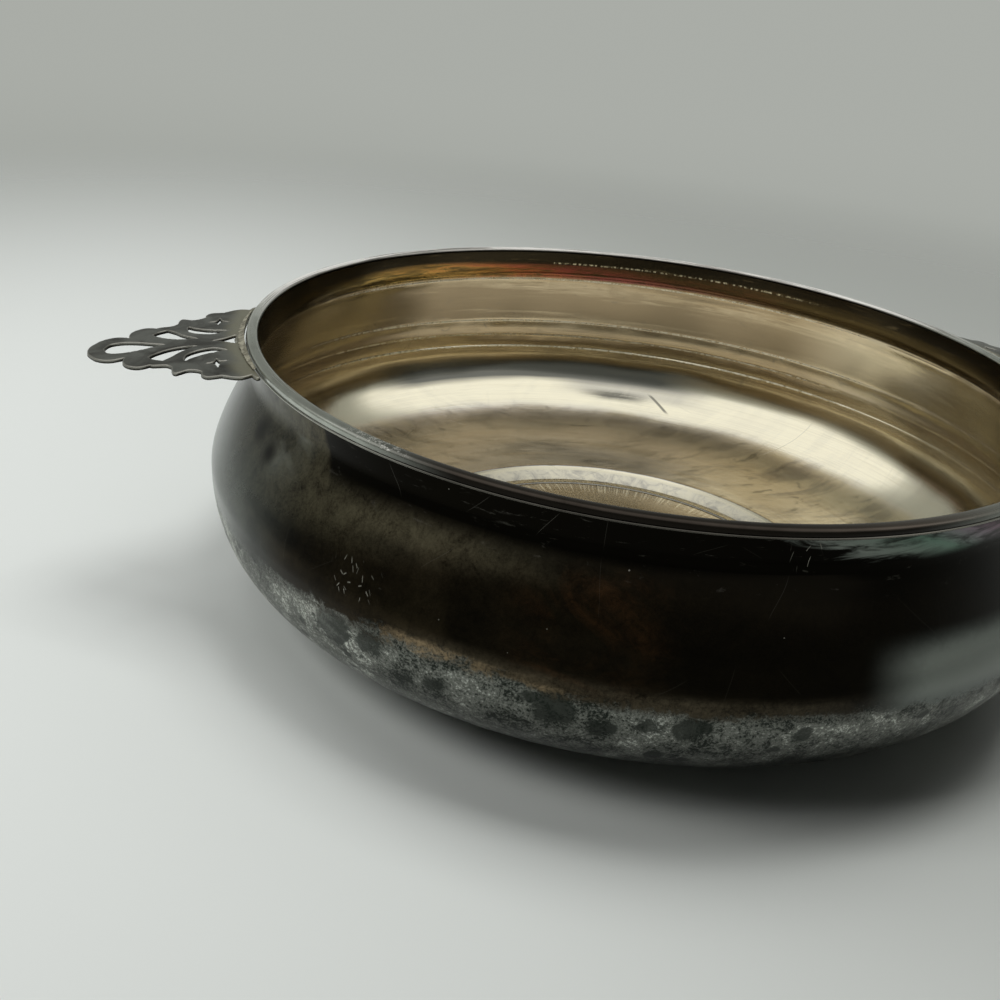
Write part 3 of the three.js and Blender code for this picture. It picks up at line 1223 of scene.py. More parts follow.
@dataclass(frozen=True)
class CastPlate:
    """Dull dark plate of the handles, rubbed pale on the edges and khaki at the root, with painted shade on
    its underside.
    """

    base: Colour = (0.18, 0.184, 0.166)
    deep: Colour = (0.036, 0.033, 0.027)
    rubbed: Colour = (0.40, 0.39, 0.35)
    root: Colour = (0.34, 0.325, 0.24)
    root_reach: tuple[float, float] = (121.5, 117.0)

    def make(self) -> bpy.types.Material:
        """Lays the root, the painted shade underneath and the wear over the clouded plate.

        Returns:
            The finished material.
        """
        skin = Surface("cast_plate")
        graph = skin.graph
        inward, level = (
            graph.add("ShaderNodeAttribute", {"attribute_name": name}, None, "Fac")
            for name in ("inward", "level")
        )
        cloud, grain = skin.clouds(0.09, 4.0, 0.8), skin.clouds(1.6, 3.0, 0.0, 0.7)
        near = (skin.radius + (cloud - 0.5) * 6.0).rise(*self.root_reach)
        rim = inward.rise(0.45, 0.12) * level.rise(0.55, 0.9)
        colour = graph.layers(
            self.deep,
            (cloud.rise(0.32, 0.62), self.base),
            (near * 0.85, self.root),
            # Painted shade: the underside and the lower part of the cut sides are laid dark.
            (level.rise(0.75, 0.2), self.deep),
            (rim * (0.35 + cloud * 0.6), self.rubbed),
        )
        rough = 0.42 + (grain - 0.5) * 0.25 - rim * 0.12
        return graph.finish(colour, rough, 0.9, [(grain, 0.03), (cloud, 0.05)])


@dataclass(frozen=True)
class SolderMetal:
    """Dull, lumpy solder."""

    base: Colour = (0.60, 0.57, 0.45)
    dark: Colour = (0.24, 0.22, 0.165)

    def make(self) -> bpy.types.Material:
        """Mixes two tones of solder over its lumps.

        Returns:
            The finished material.
        """
        skin = Surface("solder_metal")
        lump, grain = skin.clouds(0.45, 4.0, 0.5), skin.clouds(2.2, 2.0)
        colour = skin.graph.blend(lump.rise(0.34, 0.62), self.dark, self.base)
        return skin.graph.finish(colour, 0.5 + (grain - 0.5) * 0.2, 0.85, [(lump, 0.12), (grain, 0.03)])


# Pieces


@dataclass
class Shell:
    """The spun shell: collar, shoulder, belly, standing ring and floor in one sheet."""

    mouth_radius: float = 111.0
    sheet: float = 1.2
    lip_height: float = 73.3
    collar_foot: float = 66.8
    collar_bend: float = 3.6
    shoulder_setback: float = 0.9
    belly_radius: float = 124.2
    belly_height: float = 37.7
    shoulder_tangent: float = 6.4
    belly_fullness: float = 0.69
    belly_foot: tuple[float, float] = (73.2, 3.1)
    base_line: tuple[tuple[float, float], ...] = ((0.0, 1.2), (63.4, 0.7), (64.6, 0.0), (67.8, 0.0))
    floor_line: tuple[tuple[float, float], ...] = (
        (0.0, 2.4),
        (61.6, 2.0),
        (62.4, 1.6),
        (62.9, 1.6),
        (63.4, 1.95),
        (64.0, 2.0),
        (64.6, 1.5),
        (65.1, 1.3),
        (67.4, 1.2),
    )
    spin_ridges: tuple[tuple[float, float], ...] = (
        (64.6, 0.14),
        (63.3, 0.22),
        (44.5, 0.24),
        (38.4, 0.18),
        (33.8, 0.22),
    )
    ridge_width: float = 0.5
    ridge_foot: float = 6.0
    ridge_start: tuple[float, float] = (100.0, 104.0)
    corner_easing: float = 0.7
    unevenness: float = 0.16
    worked_radii: tuple[float, float] = (84.0, 104.0)
    worked_heights: tuple[float, float] = (66.0, 56.0)
    worked_seed: int = 11
    ridge_seed: int = 31
    span_steps: tuple[int, int, int, int] = (44, 24, 8, 6)
    columns: int = 288

    def outside(self) -> Profile:
        """The curved part of the outside line.

        Returns:
            Its points, from the foot of the belly to the lip.
        """
        foot_radius, foot_height = self.belly_foot
        collar_radius = self.mouth_radius + self.sheet
        reach = self.belly_fullness * (self.belly_radius - foot_radius)
        rise = self.belly_fullness * (self.belly_height - foot_height)
        widest = (self.belly_radius, self.belly_height)
        crease = (collar_radius + self.shoulder_setback, self.collar_foot - self.collar_bend)
        above_foot, below_widest = (foot_radius + reach, foot_height), (widest[0], widest[1] - rise)
        over_widest = (self.belly_radius, self.belly_height + self.shoulder_tangent)
        foot, lip = (collar_radius, self.collar_foot), (collar_radius, self.lip_height)
        bend = (collar_radius, self.collar_foot - self.collar_bend / 2)
        middle = (collar_radius, (self.collar_foot + self.lip_height) / 2)
        spans = (
            [self.belly_foot, above_foot, below_widest, widest],
            [widest, over_widest, crease],
            [crease, bend, foot],
            [foot, middle, lip],
        )
        first, *others = (bezier(controls, steps) for controls, steps in zip(spans, self.span_steps))
        return np.vstack([first, *(line[1:] for line in others)])

    def profile(self) -> tuple[Profile, int]:
        """The closed line of the sheet's section.

        Returns:
            The line, from the middle of the base round the lip to the middle of the floor, and the
            number of its points that lie outside.
        """
        outside = self.outside()
        inside = outside + self.sheet * normals_along(outside)
        inside[:, 0] = inside[:, 0].clip(max=self.belly_radius)
        under = eased_corners(np.array([*self.base_line, *outside[:2]]), self.corner_easing)
        floor = eased_corners(np.array([*self.floor_line, *inside[:2]]), self.corner_easing / 3, 3)
        outer = np.vstack([self._spread(under), outside[2:]])
        inner = np.vstack([self._spread(floor), self._ridged(inside[2:])])[::-1]
        return np.vstack([outer, inner]), len(outer)

    def _ridged(self, line: Profile) -> Profile:
        """Adds the points that the fine spinning ridges of the wall need.

        Args:
            line: Inside line, from the foot of the belly to the lip.

        Returns:
            The line with the points.
        """
        for height, _ in self.spin_ridges:
            for shift in (-self.ridge_foot, -self.ridge_foot / 2, -1.0, 0.0, 0.33, 0.67, 1.0):
                level = height + shift * self.ridge_width
                at = int(np.argmax(line[:, 1] > level))
                low, high = line[at - 1], line[at]
                point = low + (high - low) * (level - low[1]) / (high[1] - low[1])
                line = np.vstack([line[:at], point, line[at:]])
        return line

    @staticmethod
    def _spread(line: Profile, most: float = 5.0) -> Profile:
        """Adds points to the long stretches of a line.

        Args:
            line: Points of the line.
            most: Longest stretch that is left.

        Returns:
            The line with the points.
        """
        points = [line[:1]]
        for before, after in zip(line[:-1], line[1:]):
            steps = max(1, math.ceil(float(np.linalg.norm(after - before)) / most))
            points.append(before + (after - before) * (np.arange(1, steps + 1) / steps)[:, None])
        return np.vstack(points)

    def build(self) -> bpy.types.Object:
        """Turns the section into a mesh, a little uneven where the metal was worked.

        Returns:
            The shell.
        """
        profile, outer_rows = self.profile()
        middle = slice(1, len(profile) - 1)
        points = turned_points(profile[middle], self.columns)
        points = self._worked(points)
        points = self._raise_ridges(points, (outer_rows - 1) * self.columns)
        rows = len(profile) - 2
        faces = turned_faces(rows, self.columns, closed=False)
        ends = len(points)
        last = (rows - 1) * self.columns
        for column in range(self.columns):
            beside = (column + 1) % self.columns
            faces.append((ends, beside, column))
            faces.append((ends + 1, last + column, last + beside))
        poles = np.array([(0.0, 0.0, profile[0, 1]), (0.0, 0.0, profile[-1, 1])])
        piece = new_object("bowl_shell", np.vstack([points, poles]), faces)
        self._mark_inside(piece, outer_rows)
        return piece

    def _worked(self, points: np.ndarray) -> np.ndarray:
        """Presses the belly inwards by a slow, uneven amount.

        Args:
            points: Points of the shell.

        Returns:
            The points after it.
        """
        turn = np.arctan2(points[:, 1], points[:, 0])
        radius = np.hypot(points[:, 0], points[:, 1])
        share = smooth_share(radius, *self.worked_radii) * smooth_share(points[:, 2], *self.worked_heights)
        press = share * self.unevenness * (1 + ripple(turn, points[:, 2], self.worked_seed)) / 2
        scale = (radius - np.clip(press, 0, None)) / np.maximum(radius, 1e-6)
        return points * np.stack([scale, scale, np.ones_like(scale)], axis=1)

    def _raise_ridges(self, points: np.ndarray, first: int) -> np.ndarray:
        """Lifts the fine ridges off the inside of the wall, a little more here and less there.

        Args:
            points: Points of the shell.
            first: Number of the first point that lies inside.

        Returns:
            The points with the ridges.
        """
        inside = points[first:]
        turn = np.arctan2(inside[:, 1], inside[:, 0])
        lift = np.zeros(len(inside))
        for number, (height, rise) in enumerate(self.spin_ridges):
            above = (inside[:, 2] - height) / self.ridge_width
            near = np.clip(1 - np.where(above > 0, above, above / -self.ridge_foot), 0.0, 1.0)
            uneven = 0.65 + 0.35 * ripple(turn * 9.0, inside[:, 2], self.ridge_seed + number)
            lift = np.maximum(lift, rise * smooth_share(near, 0.0, 1.0) * uneven)
        radius = np.hypot(inside[:, 0], inside[:, 1])
        lift *= smooth_share(radius, *self.ridge_start)
        inside[:, :2] *= ((radius - lift) / np.maximum(radius, 1e-6))[:, None]
        return points

    def _mark_inside(self, piece: bpy.types.Object, outer_rows: int) -> None:
        """Gives the faces of the inside the second material.

        Args:
            piece: The shell.
            outer_rows: Number of the profile's points that lie outside.
        """
        first = (outer_rows - 2) * self.columns
        count = len(piece.data.vertices)
        for face in piece.data.polygons:
            if max(face.vertices) < count - 2:
                face.material_index = int(min(face.vertices) >= first)
            else:
                face.material_index = int(count - 1 in face.vertices)

    def dress(self, piece: bpy.types.Object) -> None:
        """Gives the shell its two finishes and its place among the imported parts.

        Args:
            piece: The shell.
        """
        piece.data.materials.append(OuterTarnish().make())
        piece.data.materials.append(InnerGilding().make())
        sharpen(piece, 50.0)
        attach(piece, BODY)
        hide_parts("bowl_body")


@dataclass
class RimMoulding:
    """Rounded strip over the lip, with a fine wire under its outer edge."""

    seat_radius: float = 112.5
    inner_radius: float = 111.0
    side_radius: float = 114.05
    underside: float = 72.0
    lip_seat: float = 73.6
    top: float = 74.6
    crown_radius: float = 112.2
    hem: float = 0.12
    hem_insets: tuple[float, float] = (0.45, 0.4)
    groove_inset: float = 0.08
    groove_gap: float = 0.05
    shoulder_drop: float = 1.0
    wire_radius: float = 0.3
    wire_centre: float = 113.98
    columns: int = 320
    wire_sides: int = 12
    # Outward, crest and beside-handle tones; the lighter crest and the grey are painted light.
    strip_tones: tuple[Colour, Colour, Colour] = (
        (0.014, 0.012, 0.010),
        (0.125, 0.104, 0.086),
        (0.54, 0.565, 0.51),
    )
    wire_tones: tuple[Colour, Colour, Colour] = ((0.20, 0.19, 0.165), (0.20, 0.19, 0.165), (0.40, 0.40, 0.36))

    def section(self) -> Profile:
        """Closed section of the strip, above the wire.

        Returns:
            Its points.
        """
        floor = self.underside + self.hem
        groove = self.underside + 2 * self.wire_radius + self.groove_gap
        shoulder = self.top - self.shoulder_drop
        side, crown = self.side_radius, (self.crown_radius, self.top)
        outer = bezier([(side, shoulder), (side, self.top), crown], 8)
        inner = bezier([crown, (self.inner_radius, self.top), (self.inner_radius, self.lip_seat)], 8)
        low_inset, high_inset = self.hem_insets
        under = [(self.seat_radius, floor), (side - low_inset, floor), (side - high_inset, groove - 0.1)]
        lip = [(side - self.groove_inset, groove), (side, groove + self.hem)]
        return np.vstack([under, lip, outer, inner[1:], [(self.seat_radius, self.lip_seat)]])

    def build(self) -> list[bpy.types.Object]:
        """Turns the strip and its wire.

        Returns:
            Both pieces.
        """
        strip = self._turned("rim_strip", self.section())
        turn = np.arange(self.wire_sides) * (2 * math.pi / self.wire_sides)
        centre = (self.wire_centre, self.underside + self.wire_radius)
        wire = self._turned("rim_wire", np.stack([
            centre[0] + self.wire_radius * np.cos(turn),
            centre[1] + self.wire_radius * np.sin(turn),
        ], axis=1))
        return [strip, wire]

    def _turned(self, name: str, section: Profile) -> bpy.types.Object:
        """Turns a closed section about the bowl's axis."""
        faces = turned_faces(len(section), self.columns, closed=True)
        return new_object(name, turned_points(section, self.columns), faces)

    def dress(self, pieces: list[bpy.types.Object]) -> None:
        """Gives the strip and wire their finishes and places.

        Args:
            pieces: The strip and the wire.
        """
        strip, wire = pieces
        strip.data.materials.append(MouldingPlate("moulding_strip", *self.strip_tones, rough=0.27).make())
        wire.data.materials.append(MouldingPlate("moulding_wire", *self.wire_tones, rough=0.22).make())
        for piece in pieces:
            sharpen(piece, 40.0)
            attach(piece, BODY)
            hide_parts("rim_moulding")


class Side(Enum):
    """The two ends of the bowl that carry a handle, with the handle's turn in degrees."""

    RIGHT = 0.0
    LEFT = 180.0

    @property
    def word(self) -> str:
        """Lower-case name of the side."""
        return self.name.lower()


# Half of the handle's edge from root to tip, each lobe a smooth curve through (along, across)
# points, as shares of the handle's length and half width
EDGE_LOBES = (
    ((-0.075, 1.045), (-0.056, 1.012), (-0.041, 0.961)),
    ((-0.017, 0.982), (0.024, 1.0), (0.074, 0.979), (0.138, 0.923)),
    ((0.17, 0.93), (0.218, 0.933), (0.249, 0.901), (0.263, 0.845), (0.259, 0.796)),
    ((0.297, 0.746), (0.347, 0.729), (0.39, 0.768), (0.419, 0.785), (0.439, 0.739), (0.448, 0.62)),
    ((0.477, 0.57), (0.52, 0.556), (0.563, 0.549), (0.583, 0.528)),
    ((0.63, 0.56), (0.673, 0.556), (0.721, 0.507), (0.751, 0.43), (0.757, 0.352), (0.751, 0.282)),
    ((0.779, 0.306), (0.832, 0.327), (0.89, 0.303), (0.938, 0.243)),
    ((0.968, 0.169), (0.993, 0.088), (1.0, 0.0)),
)

# Openings across the middle line, as half outlines
MIDDLE_OPENINGS = (
    ((0.513, 0.0), (0.596, 0.056), (0.693, 0.123), (0.789, 0.155), (0.863, 0.12), (0.895, 0.0)),
    ((0.205, 0.0), (0.128, 0.048), (0.054, 0.116), (0.063, 0.0)),
)

# Openings in pairs: a start and the smooth sides that follow it
PAIRED_OPENINGS = (
    (
        ((0.6, 0.324),),
        ((0.566, 0.394), (0.508, 0.447)),
        ((0.456, 0.359), (0.398, 0.236), (0.304, 0.106)),
        ((0.4, 0.113), (0.489, 0.162), (0.561, 0.246), (0.6, 0.324)),
    ),
    (
        ((0.374, 0.444),),
        ((0.366, 0.496), (0.338, 0.451), (0.285, 0.394), (0.23, 0.349), (0.11, 0.289)),
        ((0.184, 0.211), (0.244, 0.215), (0.304, 0.254), (0.359, 0.331), (0.374, 0.444)),
    ),
    (
        ((0.235, 0.609),),
        ((0.182, 0.636), (0.162, 0.725)),
        ((0.151, 0.638), (0.102, 0.57)),
        ((0.155, 0.571), (0.175, 0.507)),
        ((0.187, 0.576), (0.235, 0.609)),
    ),
)


def through(points: np.ndarray, steps: int) -> np.ndarray:
    """Smooth curve through points.

    Args:
        points: Points that the curve passes.
        steps: Stretches between two neighbours.

    Returns:
        Samples of the curve, without its first point.
    """
    padded = np.vstack([points[:1], points, points[-1:]])
    samples = []
    share = (np.arange(1, steps + 1) / steps)[:, None]
    for a, b, c, d in zip(padded[:-3], padded[1:-2], padded[2:-1], padded[3:]):
        slope_in, slope_out = (c - a) / 2, (d - b) / 2
        samples.append(
            (2 * b - 2 * c + slope_in + slope_out) * share**3
            + (-3 * b + 3 * c - 2 * slope_in - slope_out) * share**2
            + slope_in * share
            + b
        )
    return np.vstack(samples)


@dataclass
class Handle:
    """One pierced handle plate with rounded edges."""

    side: Side
    root_radius: float = 114.6
    length: float = 41.2
    half_width: float = 28.4
    root_half_width: float = 29.4
    thickness: float = 1.05
    root_top: float = 73.1
    slope: float = 0.115
    wing_sag: float = 0.62
    edge_radius: float = 0.34
    spacing: float = 0.62
    clearance: float = 1.35
    edge_rows: tuple[float, ...] = (0.25, 0.6, 1.0)
    curve_steps: int = 5
    seat_points: int = 60

    def at(self, shares: Sequence[Sequence[float]]) -> np.ndarray:
        """Points on the handle, in millimetres, from their shares."""
        return np.array(shares, float) * (self.length, self.half_width) + (self.root_radius, 0.0)

    def chain(self, start: np.ndarray, sides: Sequence[Sequence[Sequence[float]]]) -> np.ndarray:
        """Smooth sides joined end to end.

        Args:
            start: First point.
            sides: Points of each side after its start, as shares.

        Returns:
            The line.
        """
        line = [start[None, :]]
        for side in sides:
            line.append(through(np.vstack([line[-1][-1:], self.at(side)]), self.curve_steps))
        return np.vstack(line)

    def outlines(self) -> list[np.ndarray]:
        """The plate's closed outline and those of its openings.

        Returns:
            Points of each outline, the plate's first.
        """
        mirror = np.array([1.0, -1.0])
        angle = math.asin(self.root_half_width / self.root_radius)
        root = np.array([math.cos(angle), math.sin(angle)]) * self.root_radius
        upper = self.chain(root, EDGE_LOBES)
        turn = np.linspace(angle, -angle, self.seat_points)[1:-1]
        seat = np.stack([np.cos(turn), np.sin(turn)], axis=1) * self.root_radius
        loops = [np.vstack([(upper * mirror), upper[::-1][1:], seat])]
        for points in MIDDLE_OPENINGS:
            half = self.chain(self.at(points[:1])[0], [points[1:]])
            loops.append(np.vstack([half, (half * mirror)[1:-1][::-1]]))
        for start, *sides in PAIRED_OPENINGS:
            loop = self.chain(self.at(start)[0], sides)[:-1]
            loops += [loop, (loop * mirror)[::-1]]
        return loops

    def top(self, along: np.ndarray, across: np.ndarray) -> np.ndarray:
        """Height of the plate's top face."""
        fall = self.slope * (along - self.root_radius)
        return self.root_top - fall - self.wing_sag * (across / self.half_width) ** 2

    def build(self) -> bpy.types.Object:
        """Meshes the plate: two faces of even triangles joined by the cut sides.

        Returns:
            The plate.
        """
        loops = self.outlines()
        rim = np.vstack(loops)
        edges, first = [], 0
        for loop in loops:
            count = len(loop)
            edges += [(first + i, first + (i + 1) % count) for i in range(count)]
            first += count
        inner = self._inner_points(loops, rim, edges)
        points, triangles = self._triangles(np.vstack([rim, inner]), edges, loops)
        inward = self._distance(points, rim, edges)
        inward[: len(rim)] = 0.0
        drop = self.edge_radius - np.sqrt(
            np.clip(self.edge_radius**2 - np.clip(self.edge_radius - inward, 0, None) ** 2, 0, None)
        )
        height = self.top(points[:, 0], points[:, 1])
        upper = np.column_stack([points, height - drop])
        lower = np.column_stack([points, height - self.thickness + drop * 0.5])
        count = len(points)
        faces = [tuple(t) for t in triangles]
        faces += [(c + count, b + count, a + count) for a, b, c in triangles]
        faces += self._walls(triangles, count)
        vertices = np.vstack([upper, lower])
        piece = new_object(f"handle_plate_{self.side.word}", self._placed(vertices), faces)
        set_attribute(piece, "inward", np.concatenate([inward, inward]))
        set_attribute(piece, "level", np.concatenate([np.ones(count), np.zeros(count)]))
        return piece

    def _inner_points(self, loops: list[np.ndarray], rim: np.ndarray, edges: Pairs) -> np.ndarray:
        """Points inside the plate: rows beside the edges, then an even field.

        Args:
            loops: The outlines.
            rim: All their points.
            edges: Pairs of point numbers along them.

        Returns:
            The points.
        """
        rows = []
        for share in self.edge_rows:
            away = share * self.edge_radius
            for loop in loops:
                along = np.roll(loop, -1, axis=0) - np.roll(loop, 1, axis=0)
                along /= np.maximum(np.linalg.norm(along, axis=1), 1e-9)[:, None]
                for way in (1, -1):
                    moved = loop + way * away * np.stack([-along[:, 1], along[:, 0]], axis=1)
                    near = self._distance(moved, rim, edges)
                    rows.append(moved[(near > away * 0.9) & self._within(moved, loops)])
        low, high = rim.min(0), rim.max(0)
        across = np.arange(low[1], high[1], self.spacing)
        along = np.arange(low[0], high[0], self.spacing)
        field = np.stack(np.meshgrid(along, across), axis=2).reshape(-1, 2)
        field = field[self._within(field, loops)]
        field = field[self._distance(field, rim, edges) > self.edge_radius * self.clearance]
        return np.vstack([*rows, field])

    @staticmethod
    def _within(points: np.ndarray, loops: list[np.ndarray]) -> np.ndarray:
        """Whether each point lies in the plate and in none of its openings.

        Args:
            points: The points.
            loops: The outlines.

        Returns:
            One answer for each point.
        """
        crossed = np.zeros(len(points), int)
        for loop in loops:
            start, end = loop, np.roll(loop, -1, axis=0)
            for a, b in zip(start, end):
                if a[1] == b[1]:
                    continue
                above = (points[:, 1] >= min(a[1], b[1])) & (points[:, 1] < max(a[1], b[1]))
                meets = a[0] + (points[:, 1] - a[1]) / (b[1] - a[1]) * (b[0] - a[0])
                crossed += above & (meets > points[:, 0])
        return crossed % 2 == 1

    @staticmethod
    def _distance(points: np.ndarray, rim: np.ndarray, edges: Pairs) -> np.ndarray:
        """Distance from each point to the nearest outline.

        Args:
            points: The points.
            rim: Points of the outlines.
            edges: Pairs of point numbers along them.

        Returns:
            The distances.
        """
        best = np.full(len(points), np.inf)
        for a, b in edges:
            start, way = rim[a], rim[b] - rim[a]
            share = np.clip((points - start) @ way / max(way @ way, 1e-12), 0, 1)
            best = np.minimum(best, np.linalg.norm(points - start - share[:, None] * way, axis=1))
        return best

    def _triangles(
        self, points: np.ndarray, edges: Pairs, loops: list[np.ndarray]
    ) -> tuple[np.ndarray, list[tuple[int, int, int]]]:
        """Triangulates the plate.

        Args:
            points: The outlines' points, followed by those inside.
            edges: Pairs of point numbers along the outlines.
            loops: The outlines.

        Returns:
            The points and the triangles, which turn anticlockwise.
        """
        made, _, faces, *_ = delaunay_2d_cdt([Vector(p) for p in points], edges, [], 0, 1e-7)
        made = np.array([tuple(p) for p in made])
        faces = np.array([tuple(face) for face in faces])
        middle = made[faces].mean(axis=1)
        kept = faces[self._within(middle, loops)]
        a, b, c = (made[kept[:, i]] for i in range(3))
        turned = np.cross(b - a, c - a) < 0
        kept[turned] = kept[turned][:, ::-1]
        return made, [tuple(int(i) for i in face) for face in kept]

    @staticmethod
    def _walls(triangles: list[tuple[int, int, int]], count: int) -> list[tuple[int, ...]]:
        """Faces down the open edges of the triangles."""
        sides = {(t[i], t[(i + 1) % 3]) for t in triangles for i in range(3)}
        return [(b, a, a + count, b + count) for a, b in sides if (b, a) not in sides]

    def _placed(self, vertices: np.ndarray) -> np.ndarray:
        """Turns points to the handle's side of the bowl."""
        turn = Matrix.Rotation(math.radians(self.side.value), 3, "Z")
        return vertices @ np.array(turn).T

    def dress(self, piece: bpy.types.Object, finish: bpy.types.Material) -> None:
        """Gives the plate its finish and its place.

        Args:
            piece: The plate.
            finish: Its material.
        """
        piece.data.materials.append(finish)
        sharpen(piece, 38.0)
        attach(piece, BODY)
        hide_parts(f"{self.side.word}_handle")


@dataclass
class SolderSeam:
    """The fillet of solder between one handle and the moulding."""

    handle: Handle
    gap: float = 0.3
    width: float = 1.9
    end_width: float = 0.7
    height: float = 0.9
    half_angle: float = 12.5
    lumpiness: float = 0.22
    lump_waves: float = 60.0
    lump_seed: int = 5
    hollow: float = 0.97
    steps: int = 120
    sides: int = 7

    def build(self) -> bpy.types.Object:
        """Sweeps a lumpy section along the joint.

        Returns:
            The seam.
        """
        angles = np.radians(np.linspace(-self.half_angle, self.half_angle, self.steps + 1))
        share = np.cos(angles / math.radians(self.half_angle) * (math.pi / 2))
        seed = self.lump_seed + int(self.handle.side.value)
        lumps = 1 - self.lumpiness * (1 + ripple(angles * self.lump_waves, share, seed)) / 2
        width = (self.end_width + (self.width - self.end_width) * share) * lumps
        height = self.height * (0.5 + share / 2) * lumps
        arc = np.linspace(0.0, math.pi / 2, self.sides)[1:]
        out = np.concatenate([[0.0, 1.0], 1 - self.hollow * np.sin(arc), [0.0]])
        up = np.concatenate([[0.0, 0.0], 1 - self.hollow * np.cos(arc), [1.0]])
        radius = self.handle.root_radius + out[None, :] * width[:, None]
        x, y = radius * np.cos(angles)[:, None], radius * np.sin(angles)[:, None]
        z = self.handle.top(x, y) + self.gap + up[None, :] * height[:, None]
        points = np.stack([x, y, z], axis=2).reshape(-1, 3)
        size, last = len(out), len(angles) - 1
        faces = []
        for i in range(last):
            for j in range(size):
                k = (j + 1) % size
                faces.append((i * size + j, (i + 1) * size + j, (i + 1) * size + k, i * size + k))
        faces.append(tuple(range(size)))
        faces.append(tuple(last * size + j for j in reversed(range(size))))
        return new_object(f"solder_seam_{self.handle.side.word}", self.handle._placed(points), faces)

    def dress(self, piece: bpy.types.Object, finish: bpy.types.Material) -> None:
        """Gives the seam its finish and its place.

        Args:
            piece: The seam.
            finish: Its material.
        """
        piece.data.materials.append(finish)
        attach(piece, BODY)
        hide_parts(f"{self.handle.side.word}_handle_solder")


# Surroundings


@dataclass(frozen=True)
class Viewpoint:
    """The camera, aimed from its place round the mouth of the bowl."""

    mouth_height: float = 74.6
    distance: float = 331.3
    azimuth: float = -21.27
    elevation: float = 16.56
    pitch: float = -14.85
    yaw: float = 8.38
    roll: float = 8.36
    lens: float = 39.6
    shift: tuple[float, float] = (0.06, 0.11)

    def build(self) -> None:
        """Places the camera and makes it the scene's own."""
        azimuth, elevation = math.radians(self.azimuth), math.radians(self.elevation)
        back = Vector((
            math.sin(azimuth) * math.cos(elevation),
            -math.cos(azimuth) * math.cos(elevation),
            math.sin(elevation),
        ))
        right = Vector((0, 0, 1)).cross(back).normalized()
        aim = Matrix((right, back.cross(right), back)).transposed()
        for degrees, axis in ((self.yaw, "Y"), (self.pitch, "X"), (self.roll, "Z")):
            aim = aim @ Matrix.Rotation(math.radians(degrees), 3, axis)
        place = back * self.distance + Vector((0, 0, self.mouth_height))
        data = bpy.data.cameras.new("viewpoint")
        data.lens = self.lens
        data.shift_x, data.shift_y = self.shift
        data.clip_start = 0.01
        camera = bpy.data.objects.new("viewpoint", data)
        camera.matrix_world = Matrix.Translation(place * MILLIMETRE) @ aim.to_4x4()
        bpy.context.scene.collection.objects.link(camera)
        bpy.context.scene.camera = camera


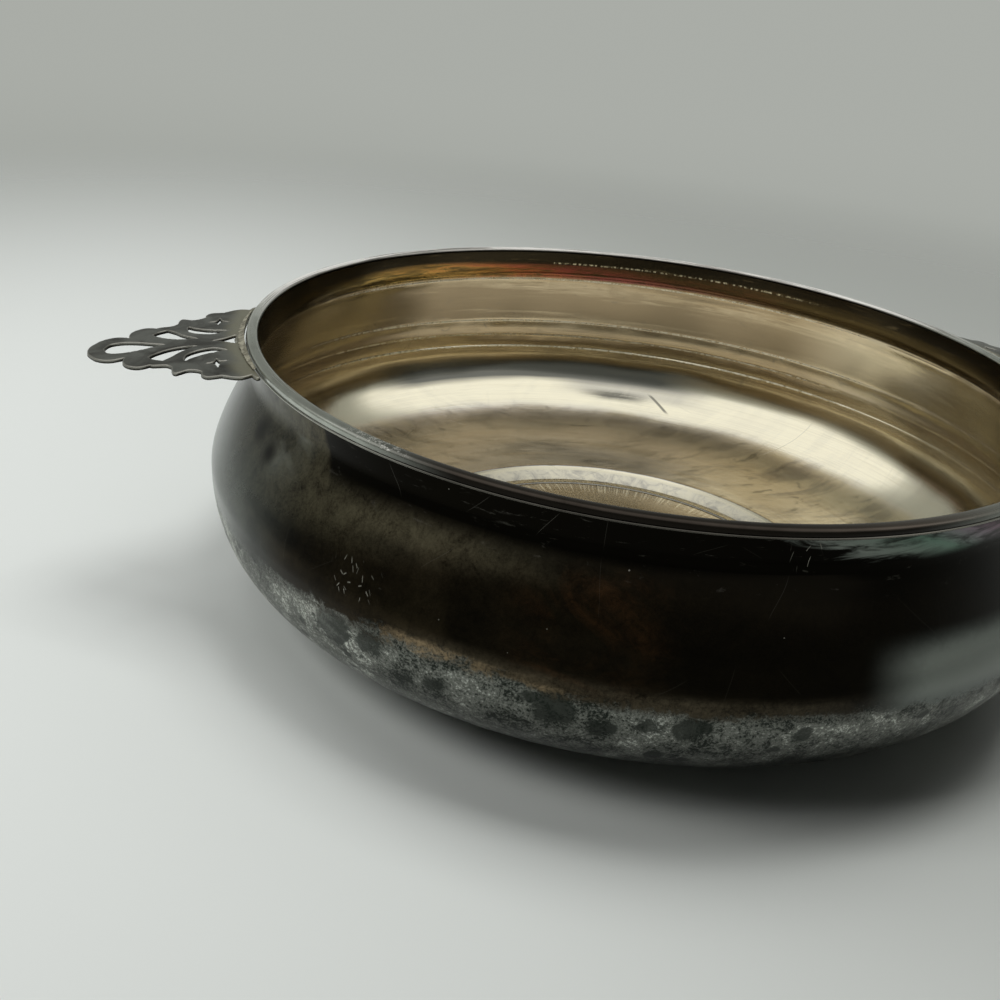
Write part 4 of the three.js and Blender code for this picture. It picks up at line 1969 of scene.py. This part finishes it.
@dataclass(frozen=True)
class Studio:
    """Pale floor and surroundings, a broad white ceiling panel and four soft lamps.

    Lengths are in metres, and only tone_run is in millimetres.
    """

    horizon: Colour = (0.40, 0.415, 0.385)
    below: Colour = (0.32, 0.335, 0.31)
    above: Colour = (0.30, 0.31, 0.29)
    horizon_start: tuple[float, float] = (-0.28, -0.10)
    horizon_end: tuple[float, float] = (0.10, 0.45)
    panel: Colour = (1.0, 1.0, 0.98)
    fill: Colour = (0.014, 0.014, 0.014)
    floor: Colour = (0.76, 0.79, 0.76)
    floor_far: Colour = (0.49, 0.51, 0.475)
    clear_radius: float = 0.24
    fade: float = 0.6
    turn: float = -21.27
    panel_half_width: float = 2.2
    panel_near: float = -1.55
    panel_far: float = 0.22
    panel_edge: float = 0.35
    floor_sides: int = 96
    tone_run: tuple[float, float] = (-240.0, 260.0)
    lamps: tuple[tuple[Triple, float, float], ...] = (
        ((0.09, 0.13, 1.05), 0.46, 4.8),
        ((0.50, 0.20, 1.00), 0.50, 0.9),
        ((-0.42, 0.46, 0.95), 0.50, 2.6),
        ((-0.85, -0.15, 0.80), 0.50, 5.3),
    )

    def build(self) -> None:
        """Makes the floor, the lamps and the world, and sets the plain view."""
        self._floor()
        for place, size, power in self.lamps:
            self._lamp(place, size, power)
        self._world()
        bpy.context.scene.view_settings.view_transform = "Standard"

    def _lamp(self, place: Triple, size: float, power: float) -> None:
        """Hangs a soft lamp and aims it at the bowl.

        Args:
            place: Place of the lamp, in metres.
            size: Side of the lamp, in metres.
            power: Power of the lamp, in watts.
        """
        data = bpy.data.lights.new("lamp", "AREA")
        data.size = size
        data.energy = power
        lamp = bpy.data.objects.new("lamp", data)
        lamp.location = place
        lamp.rotation_euler = (-Vector(place)).to_track_quat("-Z", "Y").to_euler()
        lamp.visible_glossy = False
        bpy.context.scene.collection.objects.link(lamp)

    def _world(self) -> None:
        """Surroundings and a ceiling panel that are seen in view and in the metal, and a faint fill."""
        world = bpy.data.worlds.new("surroundings")
        graph = Graph(world)
        way = graph.add("ShaderNodeTexCoord", None, None, "Generated")
        x, y, upward = way.split()
        backdrop = graph.layers(
            self.below,
            (upward.rise(*self.horizon_start), self.horizon),
            (upward.rise(*self.horizon_end), self.above),
        )
        turn = math.radians(self.turn)
        height = upward.max(0.01)
        beyond = (y * math.cos(turn) - x * math.sin(turn)) / height
        beside = (x * math.cos(turn) + y * math.sin(turn)) / height
        panel = beside.band(0.0, self.panel_half_width, self.panel_edge * 2)
        panel = panel * beyond.rise(self.panel_near - self.panel_edge, self.panel_near)
        panel = panel * beyond.rise(self.panel_far + self.panel_edge, self.panel_far)
        backdrop = graph.blend(panel, backdrop, self.panel)
        rays = [
            graph.add("ShaderNodeLightPath", None, None, f"Is {kind} Ray")
            for kind in ("Camera", "Glossy", "Transmission")
        ]
        shade = graph.blend(rays[0].max(rays[1]).max(rays[2]), self.fill, backdrop)
        graph.connect(graph.tree.nodes["Background"].inputs["Color"], shade)
        bpy.context.scene.world = world

    def _floor(self) -> None:
        """A round floor, painted lighter towards the left front, that fades into the surroundings."""
        edge = self.clear_radius + self.fade
        points = turned_points(np.array([(edge / MILLIMETRE, -0.02)]), self.floor_sides)
        piece = new_object("floor", points, [range(self.floor_sides)])
        paper = Surface("floor_paper")
        graph = paper.graph
        turn = math.radians(self.turn)
        aside = paper.x * math.cos(turn) + paper.y * math.sin(turn)
        beyond = paper.y * math.cos(turn) - paper.x * math.sin(turn)
        # Painted light: the floor is laid lighter towards the left front and darker to the right and far
        # back, as the lamps' light would fall off.
        tone = graph.blend((aside + beyond * 0.4).rise(*self.tone_run), self.floor, self.floor_far)
        graph.finish(tone, 0.8, 0.0)
        clear = graph.add("ShaderNodeBsdfTransparent")
        away = (paper.radius * MILLIMETRE).rise(self.clear_radius, edge)
        solid = graph.output("Principled BSDF", "BSDF")
        mixed = graph.add("ShaderNodeMixShader", None, {"Fac": away, "Shader": solid, "Shader_001": clear})
        graph.connect(graph.tree.nodes["Material Output"].inputs["Surface"], mixed)
        piece.data.materials.append(graph.owner)


def report(piece: bpy.types.Object) -> None:
    """Logs a piece that is done."""
    log.info("%s: %d faces", piece.name, len(piece.data.polygons))


def main() -> None:
    """Builds the surroundings and every piece."""
    logging.basicConfig(level=logging.INFO, format="%(name)s: %(message)s")
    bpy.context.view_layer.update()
    Viewpoint().build()
    Studio().build()

    shell = Shell()
    piece = shell.build()
    shell.dress(piece)
    report(piece)

    moulding = RimMoulding()
    pieces = moulding.build()
    moulding.dress(pieces)
    for piece in pieces:
        report(piece)

    cast, solder = CastPlate().make(), SolderMetal().make()
    for side in Side:
        handle = Handle(side)
        for part, finish in ((handle, cast), (SolderSeam(handle), solder)):
            piece = part.build()
            part.dress(piece, finish)
            report(piece)


if __name__ == "__main__":
    main()
